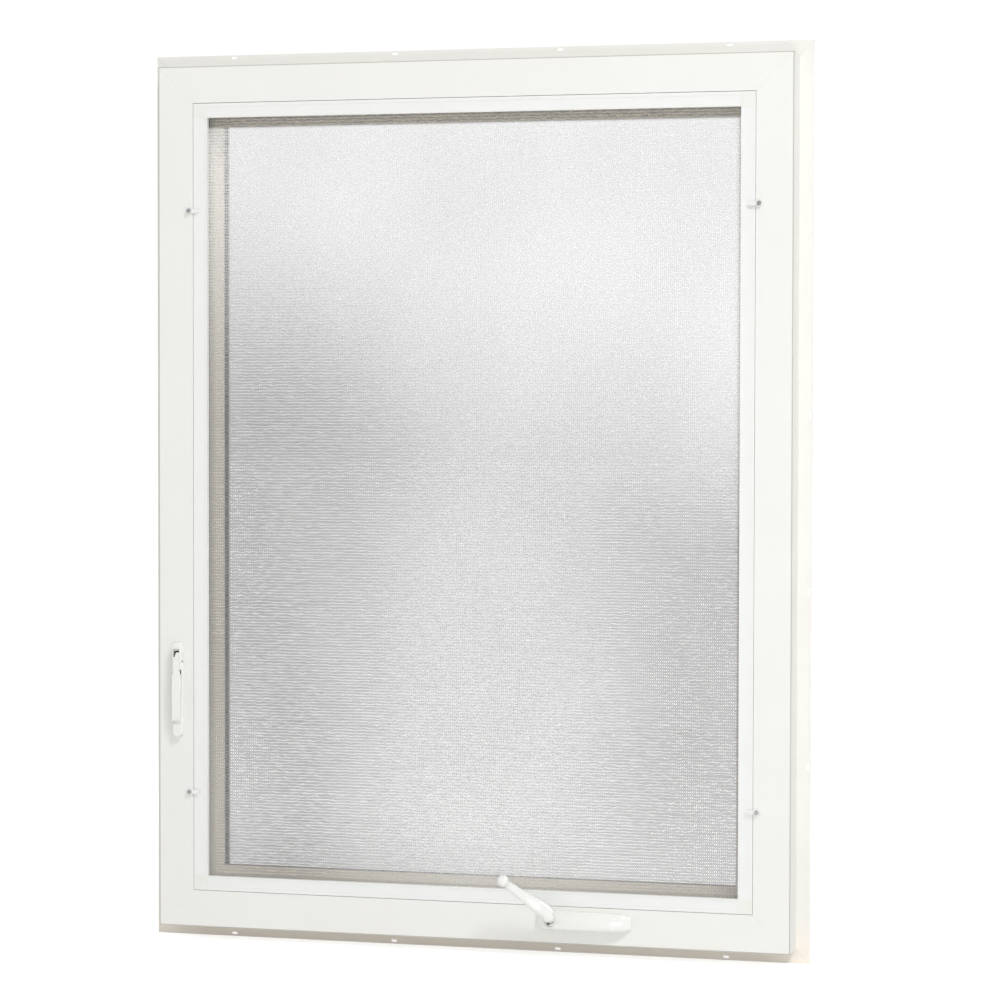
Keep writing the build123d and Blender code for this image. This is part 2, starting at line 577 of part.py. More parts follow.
gear -= rod(2.0, at(tip[0], tip[1], 0), at(tip[0], tip[1], 60))
parts["gear_arm"] = gear
roller_low, roller_top = SWING_TOP + 0.4, SASH_EDGE - 1.5
roller = rod(ROLLER_RADIUS, at(*tip, roller_low), at(*tip, roller_top))
roller -= rod(2.0, at(*tip, 0), at(*tip, 60))
parts["arm_roller"] = roller
rivet = rod(2.0, at(*tip, SWING_LOW), at(*tip, roller_top))
rivet += rod(3.2, at(*tip, SWING_LOW - 0.9), at(*tip, SWING_LOW))
parts["roller_rivet"] = rivet

slot_half = ROLLER_RADIUS + ROLLER_CLEAR
guide_depth = HINGE_DEPTH + GUIDE_OFFSET
guide_x = (LINK_X - 42, LINK_X + 14)
guide = layer(guide_x, (guide_depth - slot_half - 1.4, guide_depth + slot_half + 1.4),
              (SWING_TOP + 0.6, SASH_EDGE))
guide -= layer((guide_x[0] - 1, guide_x[1] + 1), (guide_depth - slot_half, guide_depth + slot_half),
               (0, SASH_EDGE - 1.2))
guide_screws = []
for x in (guide_x[0] + 5, guide_x[1] - 5):
    screw = rod(1.8, at(x, guide_depth, SASH_EDGE - 1.2), at(x, guide_depth, SASH_EDGE + 9))
    guide -= screw
    sash["sill"] -= screw
    guide_screws.append(screw)
parts["operator_guide"] = guide

# Housing: a cast block behind the cover, and a gear case in the sill's chamber
FRONT = (CHANNEL_INSET + 0.5, STUD_HEIGHT + 5.75)
case_x = (STUD_X - 14, PIVOT_X + 18)
front_x = (STUD_X - 18, STUD_X + 106)
CASE_BACK = OPERATOR_DEPTH + GEAR_RADIUS + 3
CASE_TOP = CHANNEL_INSET - GAP
BLOCK_BACK = STOP_BACK - WALL - GAP
worm_bottom = 4.6
WORM_TOP = 28.0
housing_boxes = [
    ((STUD_X - 14, STUD_X + 14), (WALL + GAP, FIN_DEPTH - 0.5), (worm_bottom, WORM_TOP)),
    (case_x, (WALL + GAP, CASE_BACK), (gear_low - 2.6, CASE_TOP)),
    (front_x, (WALL + GAP, BLOCK_BACK), (CASE_TOP - 3, FRONT[1])),
]
housing = layer(*housing_boxes[0]) + layer(*housing_boxes[1]) + layer(*housing_boxes[2])
housing -= rod(tip_radius + 0.5, on_stud(-THREAD_HALF - 3.6), on_stud(THREAD_HALF + 1))
housing -= rod(3.5 + RUN_FIT, on_stud(-THREAD_HALF - 5.4), on_stud(0))
housing -= rod(STUD_RADIUS + 2.2, on_stud(THREAD_HALF), on_stud(MESH_RUN))
housing -= rod(GEAR_RADIUS + ADDENDUM + 0.8, at(PIVOT_X, OPERATOR_DEPTH, gear_low - 0.4),
               at(PIVOT_X, OPERATOR_DEPTH, gear_high + 0.4))
housing -= rod(6.6, at(PIVOT_X, OPERATOR_DEPTH, gear_high), at(PIVOT_X, OPERATOR_DEPTH, 60))
for (x0, x1), (d0, d1), (u0, u1) in housing_boxes:
    members["sill"] -= layer((x0 - GAP, x1 + GAP), (d0 - GAP, d1 + GAP), (u0 - GAP, u1 + GAP))
members["sill"] -= layer((front_x[0] + 3, front_x[1] - 3), (-1, WALL + 1), (FRONT[0], FRONT[1] - 3))
opening_top = at(PIVOT_X, OPERATOR_DEPTH, SWING_TOP + 1)
members["sill"] -= rod(ARM_HUB + 0.6, at(PIVOT_X, OPERATOR_DEPTH, CASE_TOP - 1), opening_top)
housing -= rod(ARM_HUB + 0.6, at(PIVOT_X, OPERATOR_DEPTH, CASE_TOP), opening_top)
operator_screws = []
for x in (STUD_X + 16, STUD_X + 58, STUD_X + 98):
    screw = rod(2.0, at(x, WALL + GAP, FRONT[1] - 7), at(x, STOP_BACK + 1, FRONT[1] - 7))
    screw += rod(3.8, at(x, WALL + GAP, FRONT[1] - 7), at(x, WALL + GAP + 2.4, FRONT[1] - 7))
    housing -= screw
    members["sill"] -= screw
    operator_screws.append(screw)
pin = rod(3.0, at(PIVOT_X, OPERATOR_DEPTH, gear_low - 1.5), at(PIVOT_X, OPERATOR_DEPTH, SWING_TOP + 0.2))
pin += rod(4.6, at(PIVOT_X, OPERATOR_DEPTH, SWING_TOP + 0.2), at(PIVOT_X, OPERATOR_DEPTH, SWING_TOP + 1.2))
housing -= pin
parts["operator_housing"] = housing
parts["frame_hardware_screws"] = group(all_track_screws + operator_screws)
parts["gear_pivot_pin"] = pin
bushing = rod(STUD_RADIUS + 2.2, on_stud(THREAD_HALF + 3), on_stud(THREAD_HALF + 14))
bushing -= rod(STUD_RADIUS + RUN_FIT, on_stud(0), on_stud(THREAD_HALF + 20))
parts["worm_bushing"] = bushing

# Cover: a boat-shaped shell over the housing, with a hooded boss round the stud
COVER_WALL = 2.0
BOSS_RADIUS = 10.5
COVER_STATIONS = [          # from the stud: run along X, stand-off, low and high inset
    (-24.0, 5.0, 25.0, 43.0), (-10.0, 14.0, 19.0, 47.0), (24.0, 18.5, 18.0, 47.5),
    (80.0, 17.0, 18.0, 47.0), (106.0, 10.0, 19.5, 43.0), (113.0, 4.0, 22.0, 39.0),
]


def cover_body(inset):
    faces = []
    for run, out, low, high in COVER_STATIONS:
        ends = inset if run in (COVER_STATIONS[0][0], COVER_STATIONS[-1][0]) else 0
        x = STUD_X + run + (ends if run < 0 else -ends)
        bottom, top = low + inset, high - inset
        reach = out - inset
        lift = (top - bottom) * 0.30
        outline = make_face([
            Line((0, bottom), (0, top)),
            Line((0, top), (reach * 0.55, top - 0.5)),
            ThreePointArc((reach * 0.55, top - 0.5), (reach, top - lift), (reach * 0.8, bottom + lift)),
            Line((reach * 0.8, bottom + lift), (0, bottom)),
        ])
        plane = Plane(origin=at(x, 0, 0), x_dir=(0, -1, 0), z_dir=(-1, 0, 0))
        faces.append(plane * outline)
    return loft(faces)


boss_from, boss_to = MESH_RUN - 32, MESH_RUN - 16
cover = cover_body(0)
cover += rod(BOSS_RADIUS, on_stud(boss_from), on_stud(boss_to))
cover -= cover_body(COVER_WALL)
cover -= rod(BOSS_RADIUS - COVER_WALL, on_stud(boss_from - 40), on_stud(boss_to - COVER_WALL))
cover -= rod(STUD_RADIUS + 1, on_stud(0), on_stud(MESH_RUN))
cover &= block((STUD_X - 60, STUD_X + 160), (-60, 0), (-HALF_H, -HALF_H + 80))
parts["operator_cover"] = cover

# Crank handle, its knob and fixings
swing_side = -radians(HANDLE_REST)
radial = Vector(1, 0, 0) * sin(swing_side) + across * cos(swing_side)


def on_handle(out, rise):
    """A point of the handle: out from the stud, and up along it from the hub centre."""
    return mesh_point + stud_axis * (MESH_RUN + rise) + radial * out


sideways = radial.cross(stud_axis)
HUB_RADIUS = 8.6
SET_RISE = -3.0             # the set screw, below the hub centre
SET_RADIUS = 1.9
ARM_STATIONS = [(0.0, 1.0, 17.0, 11.0), (14.0, 4.0, 17.0, 10.0), (34.0, 13.0, 14.0, 8.0),
                (52.0, 24.0, 11.0, 7.0), (HANDLE_RADIUS, HANDLE_RISE - 11, 10.0, 6.0)]
arm_faces = []
for index, (out, rise, width, thick) in enumerate(ARM_STATIONS):
    ahead = ARM_STATIONS[min(index + 1, len(ARM_STATIONS) - 1)]
    behind = ARM_STATIONS[max(index - 1, 0)]
    along = radial * (ahead[0] - behind[0]) + stud_axis * (ahead[1] - behind[1])
    plane = Plane(origin=on_handle(out, rise), x_dir=sideways, z_dir=along)
    arm_faces.append(plane * RectangleRounded(width, thick, 0.35 * thick))
handle = loft(arm_faces)
handle += rod(HUB_RADIUS, on_handle(0, -7), on_handle(0, 7))
handle += rod(5.4, on_handle(HANDLE_RADIUS, HANDLE_RISE - 14),
              on_handle(HANDLE_RADIUS, HANDLE_RISE - 8))
handle -= rod(STUD_RADIUS + RUN_FIT, on_handle(0, -10), on_handle(0, 4.2))
handle -= rod(KNOB_PIN, on_handle(HANDLE_RADIUS, HANDLE_RISE - 20),
              on_handle(HANDLE_RADIUS, HANDLE_RISE + 20))


def on_set_screw(out):
    """A point below the stud, on the set screw's line."""
    return on_handle(0, SET_RISE) - across * out


set_screw = rod(SET_RADIUS, on_set_screw(STUD_RADIUS + RUN_FIT), on_set_screw(8.4))
set_screw -= rod(0.9, on_set_screw(6.6), on_set_screw(9))
handle -= rod(SET_RADIUS, on_set_screw(0), on_set_screw(12))
parts["crank_handle"] = handle
parts["crank_set_screw"] = set_screw
knob_pin = rod(KNOB_PIN, on_handle(HANDLE_RADIUS, HANDLE_RISE - 13),
               on_handle(HANDLE_RADIUS, HANDLE_RISE + 4))
parts["knob_pin"] = knob_pin
knob_plane = Plane(origin=on_handle(HANDLE_RADIUS, HANDLE_RISE - 7.7), x_dir=radial, z_dir=stud_axis)
knob = Pos(0, 0, 4.5) * Cone(5.7, KNOB_RADIUS, 9.0) + Pos(0, 0, 13.2) * Cylinder(KNOB_RADIUS, 8.4)
knob = fillet(knob.edges().sort_by(Axis.Z)[-1], 4.0)
knob -= Cylinder(KNOB_PIN + RUN_FIT, 12.6, align=(Align.CENTER, Align.CENTER, Align.MIN))
parts["crank_knob"] = knob_plane * knob

# ---- lock: lever, tie bar and keepers ----------------------------------------------

LOCK_X = -HALF_W + LOCK_INSET
LOCK_Z = -HALF_H + LOCK_HEIGHT
PIVOT_Z = LOCK_Z + 40.0
PIVOT_DEPTH = -7.0
PLATE_FACE = -6.0
HEAD_FACE = -13.0
FOOT_FACE = -9.0
LEVER_SLOT = 4.7            # half width of the slot the lever swings in
CASE_HALF = 6.3
POCKET = (PIVOT_Z - 30, PIVOT_Z + 17)
case_z = (LOCK_Z - 60, LOCK_Z + 64)
case_depth = (-0.2, STOP_BACK - WALL - GAP)
lock_case = block((LOCK_X - CASE_HALF, LOCK_X + CASE_HALF), case_depth, case_z)
lock_case -= block((LOCK_X - CASE_HALF + 1.6, LOCK_X + CASE_HALF - 1.6),
                   (-1, case_depth[1] - 1.6), POCKET)
tongue_window = (PIVOT_Z - 18.5, PIVOT_Z + 18.5)
lock_case -= block((LOCK_X - CASE_HALF + 1.6, LOCK_X - 1), (0, STOP_BACK), tongue_window)
members["lock"] -= block((LOCK_X - CASE_HALF - GAP, LOCK_X + CASE_HALF + GAP), (-1, case_depth[1] + GAP),
                         (case_z[0] - GAP, case_z[1] + GAP))
members["lock"] -= block((LOCK_X - CASE_HALF + 1.6, LOCK_X - 1), (0, STOP_BACK + 1), tongue_window)

plate_z = (LOCK_Z - LOCK_LENGTH / 2, LOCK_Z + LOCK_LENGTH / 2)
plate_x = (LOCK_X - LOCK_WIDTH / 2, LOCK_X + LOCK_WIDTH / 2)
plate = block(plate_x, (PLATE_FACE, -0.2), plate_z)
plate = fillet(plate.edges().filter_by(Axis.Y), 5.5)
plate = fillet(plate.faces().sort_by(Axis.Y)[0].edges(), 1.5)
plate -= block((LOCK_X - 5.0, LOCK_X + 5.0), (-20, 3), (POCKET[0], PIVOT_Z + 14.6))
plate -= block((LOCK_X - 5.0, LOCK_X + 5.0), (PLATE_FACE + 1.2, 3), POCKET)
head_block = block(plate_x, (HEAD_FACE, -5.0), (PIVOT_Z - 12, plate_z[1] - 0.5))
head_block = fillet(head_block.edges().filter_by(Axis.Y).sort_by(Axis.Z)[-2:], 5.0)
head_block = fillet(head_block.faces().sort_by(Axis.Y)[0].edges(), 1.8)
head_block -= block((LOCK_X - LEVER_SLOT, LOCK_X + LEVER_SLOT), (-20, 3), (POCKET[0], PIVOT_Z + 18))
foot_block = block(plate_x, (FOOT_FACE, -5.0), (plate_z[0] + 0.5, plate_z[0] + 19))
foot_block = fillet(foot_block.edges().filter_by(Axis.Y).sort_by(Axis.Z)[:2], 5.0)
foot_block = fillet(foot_block.faces().sort_by(Axis.Y)[0].edges(), 1.2)
plate += head_block + foot_block
lever_pin = rod(LEVER_PIN, (plate_x[0], y_at(PIVOT_DEPTH), PIVOT_Z),
                (plate_x[1], y_at(PIVOT_DEPTH), PIVOT_Z))
plate -= lever_pin
parts["lock_escutcheon"] = plate
parts["lever_pivot_pin"] = lever_pin

hub = rod(7.0, (LOCK_X - 0.4, y_at(PIVOT_DEPTH), PIVOT_Z), (LOCK_X + 4.4, y_at(PIVOT_DEPTH), PIVOT_Z))
LEVER_HALF = 4.4            # half width in the slot
PADDLE_HALF = 6.4           # half width below it
PADDLE_TOP = 17.5           # below the pivot
CROWN_LOW = -1.2            # the crown stays right of the tie bar's tongue


def lever_point(out, z):
    """A point of the lever's outline, from its pivot."""
    return (y_at(PIVOT_DEPTH) + out, PIVOT_Z + z)


def lever_layer(outline, low, high):
    """The outline made solid between two offsets along X from the middle of the lock."""
    plane = Plane(origin=(LOCK_X + low, 0, 0), x_dir=(0, 1, 0), z_dir=(1, 0, 0))
    return plane * extrude(outline, high - low)


lever_outline = make_face([
    Line(lever_point(0, 2.4), lever_point(-7.8, 1.8)),
    ThreePointArc(lever_point(-7.8, 1.8), lever_point(-8.4, -2), lever_point(-8, -8)),
    Line(lever_point(-8, -8), lever_point(-7.4, -78)),
    ThreePointArc(lever_point(-7.4, -78), lever_point(-6.6, -82.8), lever_point(-5, -84.5)),
    Line(lever_point(-5, -84.5), lever_point(-4.2, -83)),
    Line(lever_point(-4.2, -83), lever_point(-4.2, -40)),
    Line(lever_point(-4.2, -40), lever_point(-1.5, -36)),
    Line(lever_point(-1.5, -36), lever_point(-1.5, -22)),
    Line(lever_point(-1.5, -22), lever_point(0.6, -8)),
    Line(lever_point(0.6, -8), lever_point(1.8, -1.5)),
    Line(lever_point(1.8, -1.5), lever_point(0, 2.4)),
])
crown_outline = make_face([
    Line(lever_point(0, 2.4), lever_point(-7.8, 1.8)),
    ThreePointArc(lever_point(-7.8, 1.8), lever_point(-8, 8.6), lever_point(-4, 13)),
    Line(lever_point(-4, 13), lever_point(0, 13.4)),
    Line(lever_point(0, 13.4), lever_point(0, 2.4)),
])
lever = lever_layer(lever_outline, -LEVER_HALF, LEVER_HALF)
lever += lever_layer(crown_outline, CROWN_LOW, LEVER_HALF)
paddle = lever_layer(lever_outline, -PADDLE_HALF, PADDLE_HALF)
lever += paddle & block(plate_x, (-40, 0), (plate_z[0], PIVOT_Z - PADDLE_TOP))
hub_bore = rod(LEVER_PIN + RUN_FIT, (LOCK_X - 20, y_at(PIVOT_DEPTH), PIVOT_Z),
               (LOCK_X + 20, y_at(PIVOT_DEPTH), PIVOT_Z))
lever += hub
swing_angle = radians(LEVER_HALF_SWING)
tail_end = (PIVOT_DEPTH + LEVER_TAIL * cos(swing_angle), PIVOT_Z + LEVER_TAIL * sin(swing_angle))
tail = Pos(LOCK_X, y_at((PIVOT_DEPTH + tail_end[0]) / 2), (PIVOT_Z + tail_end[1]) / 2)
tail *= Rot(LEVER_HALF_SWING, 0, 0) * Rot(0, 90, 0)
lever += tail * extrude(Rot(0, 0, 90) * SlotCenterToCenter(LEVER_TAIL, 5.5), 3.6)
lever -= hub_bore
drive_pin = rod(LEVER_PIN, (LOCK_X - 4.4, y_at(tail_end[0]), tail_end[1]),
                (LOCK_X + 3.6, y_at(tail_end[0]), tail_end[1]))
lever -= drive_pin
parts["lock_lever"] = lever
parts["lever_drive_pin"] = drive_pin
lock_screws = []
for z, face in ((plate_z[0] + 10, FOOT_FACE), (plate_z[1] - 4.8, HEAD_FACE)):
    screw = rod(1.6, (LOCK_X, y_at(face + 1), z), (LOCK_X, y_at(13), z))
    screw += rod(2.4, (LOCK_X, y_at(face), z), (LOCK_X, y_at(face + 1.4), z))
    parts["lock_escutcheon"] -= screw
    lock_case -= screw
    members["lock"] -= screw
    lock_screws.append(screw)
parts["lock_screws"] = group(lock_screws)
parts["lock_case"] = lock_case

# Tie bar, driven by a tongue with a slot round the lever's pin
travel = 2 * LEVER_TAIL * sin(swing_angle)
channel_x = -HALF_W + CHANNEL_INSET
bar_x = (LOCK_X - 1.8 - TIE_THICK, LOCK_X - 1.8)
bar_z = (-HALF_H + TIE_FROM_SILL, HALF_H - TIE_FROM_HEAD)
bar_depth = (TIE_DEPTH - TIE_WIDTH / 2, TIE_DEPTH + TIE_WIDTH / 2)
tie_bar = block(bar_x, bar_depth, bar_z)
tongue = block(bar_x, (PIVOT_DEPTH + 2.6, TIE_DEPTH), (tail_end[1] - 5.6, tail_end[1] + 5.6))
tongue -= block((LOCK_X - 9, LOCK_X), (tail_end[0] - 3.5, PIVOT_DEPTH + LEVER_TAIL + 3.0),
                (tail_end[1] - LEVER_PIN - 1.3, tail_end[1] + LEVER_PIN + 1.3))
tie_bar += tongue
rollers, keepers, guides = [], [], []
for z in (bar_z[0] + 60, (bar_z[0] + bar_z[1]) / 2, bar_z[1] - 60):
    rollers.append(rod(4.0, (bar_x[1] + 0.1, y_at(TIE_DEPTH), z), (bar_x[1] + 5.7, y_at(TIE_DEPTH), z)))
    rollers[-1] -= rod(1.8, (bar_x[1] - 5, y_at(TIE_DEPTH), z), (bar_x[1] + 9, y_at(TIE_DEPTH), z))
    keeper_z = (z + 5.2, z + 5.2 + KEEPER_LENGTH)
    edge_x = -HALF_W + SASH_EDGE
    keeper = block((edge_x - 1.2, edge_x), (TIE_DEPTH - 15, TIE_DEPTH + 9), keeper_z)
    keeper += block((edge_x - 5.0, edge_x), (TIE_DEPTH - 8.5, TIE_DEPTH - 5.5), keeper_z)
    keepers.append(keeper)
for z in (bar_z[0] + 20, LOCK_Z + 180, bar_z[1] - 150):
    guide_block = block((channel_x, bar_x[1] + 1.6), (bar_depth[0] - 3, bar_depth[1] + 3),
                        (z - 9, z + 9))
    guide_block -= block((bar_x[0] - GAP, bar_x[1] + GAP), (bar_depth[0] - GAP, bar_depth[1] + GAP),
                         (z - 20, z + 20))
    guide_block -= block((bar_x[0], bar_x[1] + 9), (TIE_DEPTH - 4, TIE_DEPTH + 4), (z - 20, z + 20))
    guides.append(guide_block)
bar_rivets = []
for roller in rollers:
    z = roller.center().Z
    rivet = rod(1.8, (bar_x[0] - 0.8, y_at(TIE_DEPTH), z), (bar_x[1] + 5.7, y_at(TIE_DEPTH), z))
    tie_bar -= rivet
    bar_rivets.append(rivet)
parts["tie_bar"] = tie_bar
parts["tie_bar_rollers"] = group(rollers)
parts["roller_rivets"] = group(bar_rivets)
parts["tie_bar_guides"] = group(guides)
keeper_screws = []
for keeper in keepers:
    middle = keeper.center().Z
    for z in (middle - KEEPER_LENGTH / 3, middle + KEEPER_LENGTH / 3):
        screw = rod(1.7, (edge_x - 1.2, y_at(TIE_DEPTH + 2), z), (edge_x + 9, y_at(TIE_DEPTH + 2), z))
        keeper_screws.append(screw)
        sash["lock"] -= screw
keepers = [keeper - keeper_screws[2 * i] - keeper_screws[2 * i + 1] for i, keeper in enumerate(keepers)]
parts["keepers"] = group(keepers)
parts["sash_hardware_screws"] = group(all_arm_screws + guide_screws + keeper_screws)

names = {"head": "frame_head", "sill": "frame_sill", "lock": "frame_jamb_lock", "hinge": "frame_jamb_hinge"}
sash_names = {"head": "sash_rail_top", "sill": "sash_rail_bottom",
              "lock": "sash_stile_lock", "hinge": "sash_stile_hinge"}
for side in SIDES:
    parts[names[side]] = members[side]
    parts[sash_names[side]] = sash[side]

os.makedirs("parts", exist_ok=True)
for node, shape in parts.items():
    export_step(shape, "parts/" + node + ".step")
print(len(parts), "parts; worm lead", round(lead, 3), "tie bar travel", round(travel, 2))
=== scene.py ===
import json
import math

import bmesh
import bpy
import numpy as np
from mathutils import Matrix, Vector
from mathutils.noise import noise


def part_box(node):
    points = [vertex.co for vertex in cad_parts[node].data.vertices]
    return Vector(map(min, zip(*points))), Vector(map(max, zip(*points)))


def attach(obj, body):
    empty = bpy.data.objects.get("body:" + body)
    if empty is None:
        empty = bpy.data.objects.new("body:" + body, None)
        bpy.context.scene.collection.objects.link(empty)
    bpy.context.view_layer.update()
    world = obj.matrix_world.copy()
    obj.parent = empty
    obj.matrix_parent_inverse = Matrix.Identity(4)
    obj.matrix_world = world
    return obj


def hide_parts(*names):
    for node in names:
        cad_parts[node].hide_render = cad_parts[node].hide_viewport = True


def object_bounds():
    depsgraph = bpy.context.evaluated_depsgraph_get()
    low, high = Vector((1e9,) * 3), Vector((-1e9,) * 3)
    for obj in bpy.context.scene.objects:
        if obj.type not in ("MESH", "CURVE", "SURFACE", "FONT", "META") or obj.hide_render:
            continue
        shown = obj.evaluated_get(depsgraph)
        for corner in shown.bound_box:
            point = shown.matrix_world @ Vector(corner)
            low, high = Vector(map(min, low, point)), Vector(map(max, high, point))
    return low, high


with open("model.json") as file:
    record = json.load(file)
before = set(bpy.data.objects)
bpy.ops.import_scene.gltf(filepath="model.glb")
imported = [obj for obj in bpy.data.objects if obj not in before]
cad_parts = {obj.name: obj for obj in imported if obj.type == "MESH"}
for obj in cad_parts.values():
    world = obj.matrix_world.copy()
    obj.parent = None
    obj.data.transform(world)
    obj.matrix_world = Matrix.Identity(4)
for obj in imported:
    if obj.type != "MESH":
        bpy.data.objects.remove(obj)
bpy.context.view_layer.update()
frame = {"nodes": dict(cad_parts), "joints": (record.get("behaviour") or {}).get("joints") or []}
joint = {entry["name"]: entry for entry in frame["joints"]}

# ---- frame members ------------------------------------------------------------------
# Four lengths of white rigid PVC, extruded as hollow profile, cut at 45 degrees and
# fused by hot plate at the corners. The face is satin, with faint draw lines along the
# length and a shaved seam across each corner.

MM = 0.001
FRAME_LOW, FRAME_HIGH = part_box("frame_jamb_lock")[0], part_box("frame_jamb_hinge")[1]
HALF_WIDTH = (FRAME_HIGH.x - FRAME_LOW.x) / 2
HALF_HEIGHT = (FRAME_HIGH.z - FRAME_LOW.z) / 2
FACE_Y = FRAME_LOW.y


def colour(code):
    """Linear colour of an sRGB hex value."""
    values = [int(code[i:i + 2], 16) / 255 for i in (1, 3, 5)]
    linear = [v / 12.92 if v <= 0.04045 else ((v + 0.055) / 1.055) ** 2.4 for v in values]
    return (*linear, 1.0)


def add(tree, kind, sockets=None, **settings):
    """One node, with its settings, values and links."""
    node = tree.nodes.new("ShaderNode" + kind)
    for key, value in settings.items():
        setattr(node, key, value)
    for key, value in (sockets or {}).items():
        if isinstance(value, bpy.types.NodeSocket):
            tree.links.new(value, node.inputs[key])
        else:
            node.inputs[key].default_value = value
    return node


def material(name):
    """A blank material with its output node."""
    made = bpy.data.materials.new(name)
    made.use_nodes = True
    made.node_tree.nodes.clear()
    return made, made.node_tree, add(made.node_tree, "OutputMaterial")


def finish_nodes(made, *names):
    """One finish on several pieces of the frame model."""
    for name in names:
        for slot in frame["nodes"][name].material_slots:
            slot.material = made


# a seam's solid middle in millimetres, and how much of the grey a seam and an outer edge's painted
# shade take
SEAM_CORE, SEAM_SHARE, EDGE_SHADE_SHARE = 0.3, 0.1, 0.6
# the painted shade of the outer edge shows over these bands, in millimetres from the profile's
# corner
EDGE_IN, EDGE_FULL, EDGE_FRONT, EDGE_BACK = 1.5, 0.9, 0.8, 1.8
SHADE_RISE = 40  # millimetres


def extruded_pvc(name, tint, shade, along, seam, low_shade_tint=None):
    """Extruded rigid PVC: satin and even, with draw lines along one axis and shaved seams, painted
    shade along the outer edge, and a painted shade tint at the lower edge when a low tint is given.
    """
    made, tree, output = material(name)
    place = add(tree, "TexCoord").outputs["Object"]
    axes = add(tree, "SeparateXYZ", {0: place})
    # draw lines 1.5 mm apart and many times longer
    stretch = (12, 650, 650) if along == "x" else (650, 650, 12)
    lines = add(tree, "Mapping", {0: place, "Scale": stretch})
    draw = add(tree, "TexNoise", {"Vector": lines.outputs[0], "Scale": 1.0, "Detail": 2.0})
    cloud = add(tree, "TexNoise", {"Vector": place, "Scale": 9.0, "Detail": 3.0})
    # distance from the 45 degree line through each corner
    across = add(tree, "Math", {0: axes.outputs["X"]}, operation="ABSOLUTE")
    upright = add(tree, "Math", {0: axes.outputs["Z"]}, operation="ABSOLUTE")
    skew = add(tree, "Math", {0: across.outputs[0], 1: upright.outputs[0]},
               operation="SUBTRACT")
    off = add(tree, "Math", {0: skew.outputs[0], 1: HALF_HEIGHT - HALF_WIDTH},
              operation="ADD")
    near = add(tree, "Math", {0: off.outputs[0]}, operation="ABSOLUTE")
    line = add(tree, "MapRange", {
        "Value": near.outputs[0], "From Min": SEAM_CORE * MM, "From Max": seam * MM,
        "To Min": 1.0, "To Max": 0.0})
    body = add(tree, "Mix", {
        "Factor": cloud.outputs[0], "A": colour(tint), "B": colour(shade)}, data_type="RGBA")
    if low_shade_tint:
        # painted shade: the lower edge is tinted as it looks in the shade under the frame
        low_painted_shade = add(tree, "MapRange", {
            "Value": axes.outputs["Z"], "From Min": -HALF_HEIGHT,
            "From Max": SHADE_RISE * MM - HALF_HEIGHT, "To Min": 1.0, "To Max": 0.0})
        body = add(tree, "Mix", {
            "Factor": low_painted_shade.outputs[0], "A": body.outputs["Result"], "B": colour(low_shade_tint)},
            data_type="RGBA")
    # painted shade along the sharp outer edge of the face, where the profile turns the corner
    past_x = add(tree, "Math", {0: across.outputs[0], 1: HALF_WIDTH}, operation="SUBTRACT")
    past_z = add(tree, "Math", {0: upright.outputs[0], 1: HALF_HEIGHT}, operation="SUBTRACT")
    past = add(tree, "Math", {0: past_x.outputs[0], 1: past_z.outputs[0]}, operation="MAXIMUM")
    outer = add(tree, "MapRange", {
        "Value": past.outputs[0], "From Min": -EDGE_IN * MM, "From Max": -EDGE_FULL * MM})
    front = add(tree, "MapRange", {
        "Value": axes.outputs["Y"], "From Min": FACE_Y + EDGE_FRONT * MM,
        "From Max": FACE_Y + EDGE_BACK * MM, "To Min": EDGE_SHADE_SHARE, "To Max": 0.0})
    edge_shade = add(tree, "Math", {0: outer.outputs[0], 1: front.outputs[0]}, operation="MULTIPLY")
    seam_and_edge_shade = add(tree, "Math", {0: line.outputs[0], 1: SEAM_SHARE, 2: edge_shade.outputs[0]},
               operation="MULTIPLY_ADD")
    # the seams' dark line and the painted edge shade share one grey
    skin = add(tree, "Mix", {
        "Factor": seam_and_edge_shade.outputs[0], "A": body.outputs["Result"], "B": colour("#8f8a80")},
        data_type="RGBA")
    gloss = add(tree, "MapRange", {"Value": cloud.outputs[0], "To Min": 0.34, "To Max": 0.46})
    relief = add(tree, "Math", {0: draw.outputs[0], 1: line.outputs[0]}, operation="SUBTRACT")
    bump = add(tree, "Bump", {"Height": relief.outputs[0], "Strength": 0.12, "Distance": 0.1 * MM})
    pvc = add(tree, "BsdfPrincipled", {
        "Base Color": skin.outputs["Result"], "Roughness": gloss.outputs[0], "IOR": 1.53,
        "Normal": bump.outputs[0]})
    tree.links.new(pvc.outputs[0], output.inputs[0])
    return made


# clean neutral white, hardly warmer in its clouds
finish_nodes(extruded_pvc("pvc_rail", "#f3f3ef", "#efeeea", "x", 0.8),
             "frame_head", "frame_sill")
finish_nodes(extruded_pvc("pvc_jamb", "#f3f3ef", "#efeeea", "z", 0.8),
             "frame_jamb_lock", "frame_jamb_hinge")

# ---- nailing fin --------------------------------------------------------------------
# A flat strip of the same PVC round the outside, pressed into the frame's groove and
# mitred at the corners. It isn't meant to be seen, so it is a little yellower and duller.

# the fin's lower 40 mm take a warmer painted shade tint, for the shade under the frame
finish_nodes(extruded_pvc("pvc_fin", "#f6f5f1", "#efede7", "x", 1.4, "#fbf3e8"), "nail_fins")

# ---- weep covers --------------------------------------------------------------------
# Two small flaps of PVC that snap over the drain holes on the weather side. They are
# a shade greyer than the frame.

finish_nodes(extruded_pvc("pvc_trim", "#ecebe6", "#e5e3dd", "x", 0.4), "weep_covers")

# ---- sash ---------------------------------------------------------------------------
# Four lengths of PVC round the sealed glass, with snap-in glazing beads. The compound is
# warmer than the frame's, and reads as warm grey in the shade behind the screen.

